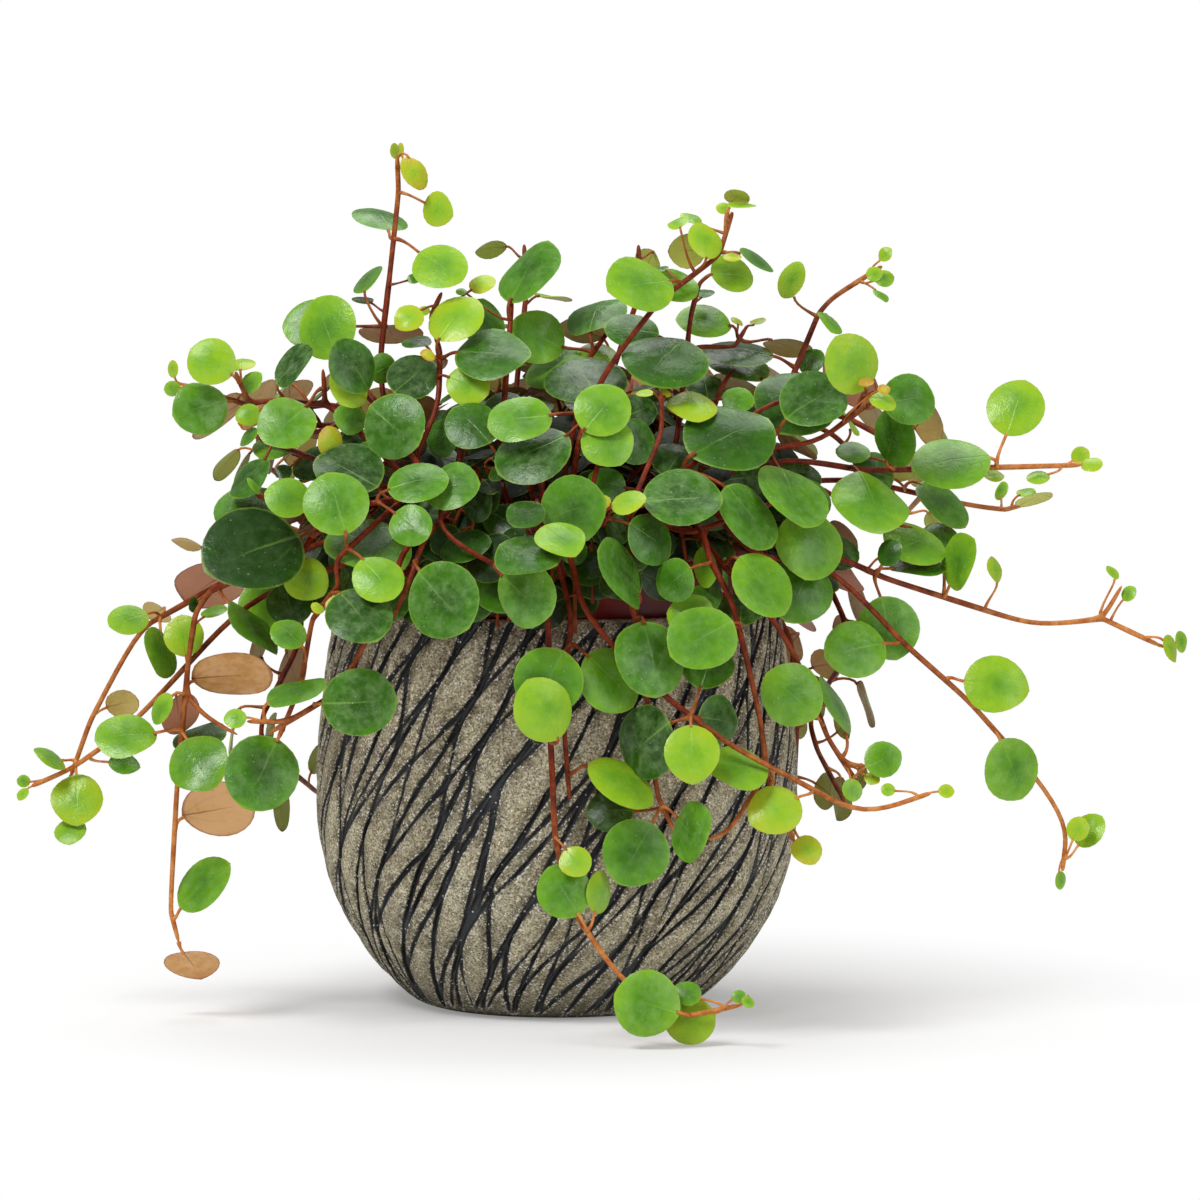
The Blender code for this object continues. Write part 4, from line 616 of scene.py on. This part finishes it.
def read_blade(crown):
    """The blade whose face this vertex crowns, or None where it is part of a stem."""
    ring = [edge.other_vert(crown) for edge in crown.link_edges]
    if len(ring) not in RIM_POINTS or len(crown.link_faces) != len(ring):
        return None
    spots = np.array([v.co for v in ring])
    middle = spots.mean(0)
    normal = np.linalg.svd(spots - middle)[2][2]
    if np.abs((spots - middle) @ normal).max() > BLADE_LIMIT:
        return None
    normal = normal * np.sign(normal @ np.array(crown.normal))
    rise = (np.array(crown.co) - middle) @ normal
    middle = np.array(crown.co) - rise * normal
    if abs(rise) < NO_RISE:
        return None
    reach = spots - middle
    pairs = [(np.linalg.norm(a - b), i, j) for i, a in enumerate(spots) for j, b in enumerate(spots) if i < j]
    _, i, j = min(pairs)
    foot = (reach[i] + reach[j]) / 2
    length = 2 * np.linalg.norm(foot) / math.cos(math.radians(RIM_OPENING))
    out = -foot / np.linalg.norm(foot)
    side = np.cross(normal, out)
    width = length * BLADE_NARROWER / BLADE_LONGER
    oval = np.hypot(reach @ out / (length / 2), reach @ side / (width / 2))
    if np.abs(oval - 1).max() > OVAL_LIMIT:
        return None
    return {"ring": ring, "crown": crown, "middle": middle, "up": normal, "out": out, "length": length,
            "rise": rise}


def in_order(verts):
    """A set's vertices by their index, so that every run takes them the same way."""
    return sorted(verts, key=lambda v: v.index)


def beyond(verts, known):
    """The vertices next to these that aren't known yet."""
    return in_order({edge.other_vert(v) for v in verts for edge in v.link_edges} - {*verts, *known})


def read_leaves(mesh):
    """The leaves of a shoot: each upper face with the lower face under it, and the stalk that holds them."""
    found = [blade for blade in map(read_blade, mesh.verts) if blade]
    uppers = [blade for blade in found if blade["rise"] > 0]
    lowers = [blade for blade in found if blade["rise"] < 0]
    leaves = []
    for upper in uppers:
        for lower in lowers:
            gap = upper["middle"] - lower["middle"]
            thick = gap @ upper["up"]
            if 0 < thick < THICKEST_BLADE and np.linalg.norm(gap - thick * upper["up"]) < BLADE_LIMIT:
                own = {*upper["ring"], *lower["ring"], upper["crown"], lower["crown"]}
                collar = beyond(own, ())
                centre = Vector((upper["middle"] + lower["middle"]) / 2)
                leaves.append({"up": Vector(upper["up"]), "out": Vector(upper["out"]), "centre": centre,
                               "length": upper["length"], "thick": thick, "blade": own, "collar": collar,
                               "root": beyond(collar, own)})
    return leaves


def middle_of(verts):
    return sum((v.co for v in verts), Vector()) / len(verts)


def cut_leaves(mesh, leaves):
    """Takes the leaves off the stem, closes the stem where each one left it, and notes where that was."""
    for leaf in leaves:
        leaf["neck"] = middle_of(leaf["collar"])
        leaf["foot"] = middle_of(leaf["root"])
    gone = {v for leaf in leaves for v in (*leaf.pop("blade"), *leaf.pop("collar"))}
    bmesh.ops.delete(mesh, geom=in_order(gone), context="VERTS")
    for leaf in leaves:
        root, foot = leaf.pop("root"), leaf["foot"]
        first = root[0].co - foot
        normal = first.cross(root[1].co - foot).normalized()
        if abs(normal @ (root[2].co - foot)) > OFF_PLANE:
            normal = first.cross(root[2].co - foot).normalized()
        second = normal.cross(first)
        root.sort(key=lambda v: math.atan2((v.co - foot) @ second, (v.co - foot) @ first))
        closing = mesh.faces.new(root)
        closing.normal_update()
        away = closing.normal.copy()
        leaf["away"] = away if away @ (leaf["neck"] - foot) > 0 else -away


def round_stem(node, leaves_out):
    """The stem and side shoots of a shoot, rounded, without its leaves. What its leaves were is added to
    leaves_out."""
    bpy.ops.object.select_all(action="DESELECT")
    stem = node.copy()
    stem.data = node.data.copy()
    stem.name = node.name + "_stem"
    stem.parent = None
    for key in list(stem.keys()):
        del stem[key]
    bpy.context.collection.objects.link(stem)
    stem.hide_render = stem.hide_viewport = False
    stem.data.materials.clear()
    bpy.context.view_layer.objects.active = stem
    stem.select_set(True)
    bpy.ops.object.mode_set(mode="EDIT")
    bpy.ops.mesh.select_all(action="SELECT")
    bpy.ops.mesh.remove_doubles(threshold=STEM_WELD)
    mesh = bmesh.from_edit_mesh(stem.data)
    mesh.verts.index_update()
    slender = mesh.verts.layers.float.new("slender")
    mesh.normal_update()
    leaves = read_leaves(mesh)
    cut_leaves(mesh, leaves)
    for v in mesh.verts:
        section = min(edge.calc_length() for edge in v.link_edges) / math.sqrt(2)
        v[slender] = min(1, max(0, (STOUT - section) / (STOUT - SLIM)))
    bmesh.update_edit_mesh(stem.data)
    bpy.ops.mesh.select_all(action="SELECT")
    bpy.ops.mesh.tris_convert_to_quads(face_threshold=math.pi / 3, shape_threshold=math.pi / 3)
    bpy.ops.mesh.normals_make_consistent(inside=False)
    bpy.ops.transform.shrink_fatten(value=STEM_SWELL)
    bpy.ops.object.mode_set(mode="OBJECT")
    rounding = stem.modifiers.new("rounding", "SUBSURF")
    rounding.levels = rounding.render_levels = 2
    bpy.ops.object.modifier_apply(modifier="rounding")
    bpy.ops.object.shade_smooth()
    leaves_out.extend(leaves)
    return stem


def grow_tubes(name, courses):
    """Round tubes with closed ends along courses of points, each a place and a radius in metres."""
    wires = bpy.data.curves.new(name, "CURVE")
    wires.dimensions = "3D"
    wires.bevel_depth = 1
    wires.bevel_resolution = 2
    wires.use_fill_caps = True
    for course in courses:
        wire = wires.splines.new("POLY")
        wire.points.add(len(course) - 1)
        for point, (spot, thickness) in zip(wire.points, course):
            point.co = (*spot, 1)
            point.radius = thickness
    tubes = bpy.data.objects.new(name, wires)
    bpy.context.collection.objects.link(tubes)
    bpy.ops.object.select_all(action="DESELECT")
    bpy.context.view_layer.objects.active = tubes
    tubes.select_set(True)
    bpy.ops.object.convert(target="MESH")
    bpy.ops.object.shade_smooth()
    tubes = bpy.context.object
    layer = tubes.data.attributes.new("slender", "FLOAT", "POINT")
    layer.data.foreach_set("value", [STALK_YOUTH] * len(tubes.data.vertices))
    return tubes


def bow_through(start, first_pull, last_pull, end, steps):
    """Points on a curve that leaves start toward one pull and arrives at end from the other."""
    spots = []
    for step in range(steps):
        t = step / (steps - 1)
        near_start = (1 - t) ** 3 * start + 3 * t * (1 - t) ** 2 * first_pull
        spots.append(near_start + 3 * t * t * (1 - t) * last_pull + t ** 3 * end)
    return spots


def stalk_course(leaf):
    """The course of a leaf's stalk, from inside the stem to just inside the blade."""
    start = leaf["foot"] - leaf["away"] * STALK_ROOT
    end = leaf["centre"] - leaf["out"] * leaf["length"] * STALK_END
    pull = 0.25 * (end - start).length
    spots = bow_through(start, leaf["foot"] + leaf["away"] * pull, leaf["neck"], end, len(STALK_FLARE))
    radius = (0.28 + 0.01 * leaf["length"] / MM) * MM
    return [(spot, radius * share) for spot, share in zip(spots, STALK_FLARE)]


# Stems are dark red brown at the plant's heart, and paler where they are thin, young or far out.
bark, paint = paint_tree("red_brown_stem")
place = paint.add("TexCoord", out="Object")
youth = paint.add("Attribute", {"attribute_name": "slender"}, out="Fac")
streak = grain(paint, place, 260, 4, 0.6)
speckle = grain(paint, place, 1300, 3, 0.6)
ripe = (streak + 0.4 * speckle).step(0.4, 0.95)
away = paint.add("VectorMath", {"operation": "DISTANCE"}, {0: place, 1: (0, 0, 0.14)}, out="Value")
far_out = away.step(0.085, 0.16)
old_stem = ripe.mix(colour(72, 20, 8), colour(130, 46, 18))
young_stem = ripe.mix(colour(182, 90, 32), colour(224, 156, 84))
rind = (0.28 * youth + 0.55 * far_out + 0.25 * streak - 0.09).step(0.1, 0.95).mix(old_stem, young_stem)
rough_bark = streak + 0.5 * speckle
finish_paint(paint, rind, speckle.step(0.3, 0.7, 0.32, 0.5), rough_bark, 0.3, 0.0004, specular=0.15)

chance = random.Random(21)
for name in sorted(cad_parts):
    if not name.startswith("shoot_"):
        continue
    leaves = []
    stem = round_stem(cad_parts[name], leaves)
    if leaves:
        stalks = grow_tubes("stalks", [stalk_course(leaf) for leaf in leaves])
        stem = join_pieces([stem, stalks], name + "_stem")
    stem.data.materials.clear()
    stem.data.materials.append(bark)
    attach(stem, "root")
    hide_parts(name)
    blades = []
    for leaf in leaves:
        years = min(1, max(0, (leaf["thick"] / MM - BLADE_BUD) / BLADE_PER_AGE / OLDEST))
        blades.append(place_leaf(leaf["centre"], leaf["out"].cross(leaf["up"]), leaf["out"], leaf["up"],
                                 leaf["length"], years, chance))
    if blades:
        foliage = join_pieces(blades, name + "_leaves")
        foliage.data.materials.clear()
        foliage.data.materials.append(waxy)
        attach(foliage, "root")
        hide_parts(name)

# ---------------------------------------------------------------- undergrowth
# The plant's dense heart: short old shoots that stand on the compost, fill the mound and hang over the lip
# all round, a little thinner in front, each with a few dark leaves that stay clear of all the shoots above.
# Their leaves are darkened further as painted shade, less where light falls in on top and behind.

# Lengths are in metres. BARE counts a shoot's points before its first leaf, and ages are a leaf's, as above:
# an age past 1 is painted shade.
HUB = Vector((0, 0, 0.105))
LIFT = Vector((0, 0, 0.2))
ROOT_HEIGHT = 0.1385
RIM_SHOOTS, RIM_STEPS, RIM_BARE = 72, 11, 5
RIM_SIZES, RIM_AGES_AND_SHADE = (0.013, 0.021), (0.78, 1.12)
INNER_SHOOTS, INNER_STEPS, INNER_BARE = 98, 9, 3
INNER_SIZES, INNER_AGES_AND_SHADE = (0.011, 0.019), (0.98, 1.28)
THIN_FRONT = (-1.27, -0.77)
MOUND_BASE, MOUND_RISE, MOUND_REACH = 0.152, 0.05, 0.085
LEAF_TRIES = 8
LEAF_SPAN = 0.024
STALK_OUT, STALK_UP = 0.0035, 0.002
FRONT_LOWEST, BACK_LOWEST, BACK_FROM = 0.126, 0.118, 0.03
TUB_RADIUS, TUB_TOP = 0.066, 0.147
# How much a leaf's age, and with it its painted shade, drops where light falls in.
SHADE_LIFTED_WHERE_LIT = 0.34
STEM_FOOT, TWIG = 0.0009, 0.0004


def surface_tree(pieces):
    """All the pieces' faces, to find what would touch them."""
    spots, faces = [], []
    for piece in pieces:
        start = len(spots)
        spots += [v.co.copy() for v in piece.data.vertices]
        faces += [[start + k for k in face.vertices] for face in piece.data.polygons]
    return BVHTree.FromPolygons(spots, faces)


def inner_course(chance):
    """A short shoot from the compost up into the mound."""
    turn = chance.uniform(0, TAU)
    foot, top = chance.uniform(0.005, 0.05), chance.uniform(0.02, 0.078)
    crown = math.sqrt(max(0, 1 - (top / MOUND_REACH) ** 2))
    height = MOUND_BASE + chance.uniform(0.1, 1) * MOUND_RISE * crown
    lean = chance.uniform(-0.4, 0.4)
    start = Vector((foot * math.cos(turn), foot * math.sin(turn), ROOT_HEIGHT))
    end = Vector((top * math.cos(turn + lean), top * math.sin(turn + lean), height))
    rise = Vector((0, 0, 0.4)) * (height - ROOT_HEIGHT)
    return bow_through(start, start + rise, end - Vector((0, 0, 0.006)), end, INNER_STEPS)


def rim_course(turn, chance):
    """A short shoot from the compost over the nursery pot's lip."""
    foot = chance.uniform(0.046, 0.058)
    reach = chance.uniform(0.073, 0.08)
    drop = chance.uniform(0.122, 0.136)
    way = Vector((math.cos(turn), math.sin(turn), 0))
    start = way * foot + Vector((0, 0, ROOT_HEIGHT))
    rise = way * foot + Vector((0, 0, 0.17))
    fall = way * reach * 1.03 + Vector((0, 0, 0.166))
    return bow_through(start, rise, fall, way * reach + Vector((0, 0, drop)), RIM_STEPS)


def leaves_along(spots, first, sizes, ages_and_shade, solid, grown, chance):
    """A few leaves on short stalks along a shoot, as (leaf, stalk course), each clear of all before it.
    They face away from the hub, and get less painted shade and a lighter green where light falls in, on top
    and behind."""
    kept = []
    for index in range(first, len(spots)):
        spot = spots[index]
        along = (spot - spots[index - 1]).normalized()
        for attempt in range(LEAF_TRIES):
            size = chance.uniform(*sizes) * (1 - 0.05 * attempt)
            spin = Vector([chance.gauss(0, 1) for _ in range(3)]).normalized()
            up = ((spot - HUB).normalized() + 0.5 * spin + LIFT).normalized()
            out = along.cross(up) * chance.choice((-1, 1)) + 0.5 * along + 0.3 * up.cross(spin)
            out = (out.normalized() - up * (out.normalized() @ up)).normalized()
            centre = spot + out * (size * 0.5 + STALK_OUT) + up * STALK_UP
            lowest = FRONT_LOWEST + 0.34 * size if centre.y < BACK_FROM else BACK_LOWEST
            in_tub = math.hypot(centre.x, centre.y) < TUB_RADIUS and centre.z < TUB_TOP
            if centre.z < lowest or in_tub:
                continue
            # Painted light: leaves on top and behind are made younger, so they get less painted shade and a
            # lighter green.
            lit = min(1, max(0, centre.y / 0.04, (centre.z - 0.17) / 0.035))
            age = chance.uniform(*ages_and_shade) - SHADE_LIFTED_WHERE_LIT * lit
            leaf = place_leaf(centre, out.cross(up), out, up, size, age, chance)
            own = surface_tree([leaf])
            near = [tree for middle, tree in grown if (middle - centre).length < LEAF_SPAN]
            if not any(own.overlap(tree) for tree in (solid, *near)):
                grown.append((centre, own))
                end = centre - out * size * STALK_END
                course = bow_through(spot, spot + up * 0.0015, end - out * 0.0015, end, 5)
                kept.append((leaf, [(place, TWIG) for place in course]))
                break
            bpy.data.objects.remove(leaf)
    return kept


chance = random.Random(40)
solid = surface_tree([item for item in bpy.context.scene.objects
                      if item.type == "MESH" and item.visible_get() and item not in (broad_leaf, small_leaf)])
grown, courses, leaves = [], [], []
for number in range(RIM_SHOOTS + INNER_SHOOTS):
    if number < RIM_SHOOTS:
        turn = (number + chance.uniform(-0.4, 0.4)) * TAU / RIM_SHOOTS
        if THIN_FRONT[0] < turn - TAU < THIN_FRONT[1] and number % 3:
            continue
        spots = rim_course(turn, chance)
        held = leaves_along(spots, RIM_BARE, RIM_SIZES, RIM_AGES_AND_SHADE, solid, grown, chance)
    else:
        spots = inner_course(chance)
        held = leaves_along(spots, INNER_BARE, INNER_SIZES, INNER_AGES_AND_SHADE, solid, grown, chance)
    if not held:
        continue
    stem = [(spot, STEM_FOOT - TWIG * k / len(spots)) for k, spot in enumerate(spots)]
    courses += [stem] + [course for _, course in held]
    leaves += [leaf for leaf, _ in held]
thicket = grow_tubes("undergrowth_stems", courses)
thicket.data.materials.append(bark)
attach(thicket, "root")
cover = join_pieces(leaves, "undergrowth_leaves")
cover.data.materials.clear()
cover.data.materials.append(waxy)
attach(cover, "root")
for master in (broad_leaf, small_leaf):
    bpy.data.objects.remove(master)

# ---------------------------------------------------------- table, light, view
# A white table under soft daylight from the upper left, seen a little from above. Away from the pot's shadow
# the camera sees the table and the sky as plain white; the plant is lit by a dimmer sky and three soft lamps.
DIM_SKY = 0.31
LAMP_AIM = (0, 0, 0.12)
VIEW_FROM = (0.0135, -2.0, 0.28)
VIEW_AT = (0.0135, 0, 0.127)
VIEW_LENS = 191.2
bpy.ops.object.select_all(action="DESELECT")
bpy.ops.mesh.primitive_circle_add(vertices=96, radius=12, fill_type="NGON")
table = bpy.context.object
table.name = "white_table"
white, paint = paint_tree("white_table_top")
place = paint.add("TexCoord", out="Object")
flat = paint.add("VectorMath", {"operation": "SUBTRACT"}, {0: place, 1: (0.01, -0.02, 0)})
far = paint.add("VectorMath", {"operation": "LENGTH"}, {0: flat}, out="Value").step(0.07, 0.23, 0.25, 1)
top = paint.add("BsdfDiffuse", {}, {"Color": (0.88, 0.88, 0.88, 1)})
glow = paint.add("Emission", {}, {"Color": (1, 1, 1, 1), "Strength": 1.0})
rays = paint.add("LightPath", out="Is Camera Ray")
paper = paint.add("MixShader", {}, {0: far * rays, 1: top, 2: glow})
paint.add("OutputMaterial", {}, {"Surface": paper})
table.data.materials.append(white)

world = bpy.data.worlds.new("soft_daylight")
bpy.context.scene.world = world
world.use_nodes = True
world.node_tree.nodes.clear()
paint = Shade(world.node_tree)
rays = paint.add("LightPath", out="Is Camera Ray")
dim = paint.add("Background", {}, {"Color": (1, 1, 1, 1), "Strength": DIM_SKY})
bright = paint.add("Background", {}, {"Color": (1, 1, 1, 1), "Strength": 1.0})
sky = paint.add("MixShader", {}, {0: rays, 1: dim, 2: bright})
paint.add("OutputWorld", {}, {"Surface": sky})


def turn_to(holder, aim):
    """Points a lamp or camera at a place."""
    holder.rotation_euler = (Vector(aim) - holder.location).to_track_quat("-Z", "Y").to_euler()


def soft_lamp(name, place, size, power):
    """A square lamp of a size in metres and a power in watts."""
    lamp = bpy.data.lights.new(name, "AREA")
    lamp.size = size
    lamp.energy = power
    holder = bpy.data.objects.new(name, lamp)
    bpy.context.collection.objects.link(holder)
    holder.location = place
    turn_to(holder, LAMP_AIM)


soft_lamp("window_left", (-0.7, -0.9, 1.4), 0.6, 20)
soft_lamp("bounce_right", (1.1, -1.1, 0.8), 1.0, 8.5)
soft_lamp("sky_above", (0.1, 0.6, 1.5), 1.0, 11)

bpy.ops.object.camera_add(location=VIEW_FROM)
camera = bpy.context.object
turn_to(camera, VIEW_AT)
camera.data.lens = VIEW_LENS
camera.data.sensor_width = 36
camera.data.clip_start = 0.05
bpy.context.scene.camera = camera
bpy.context.scene.view_settings.view_transform = "Standard"
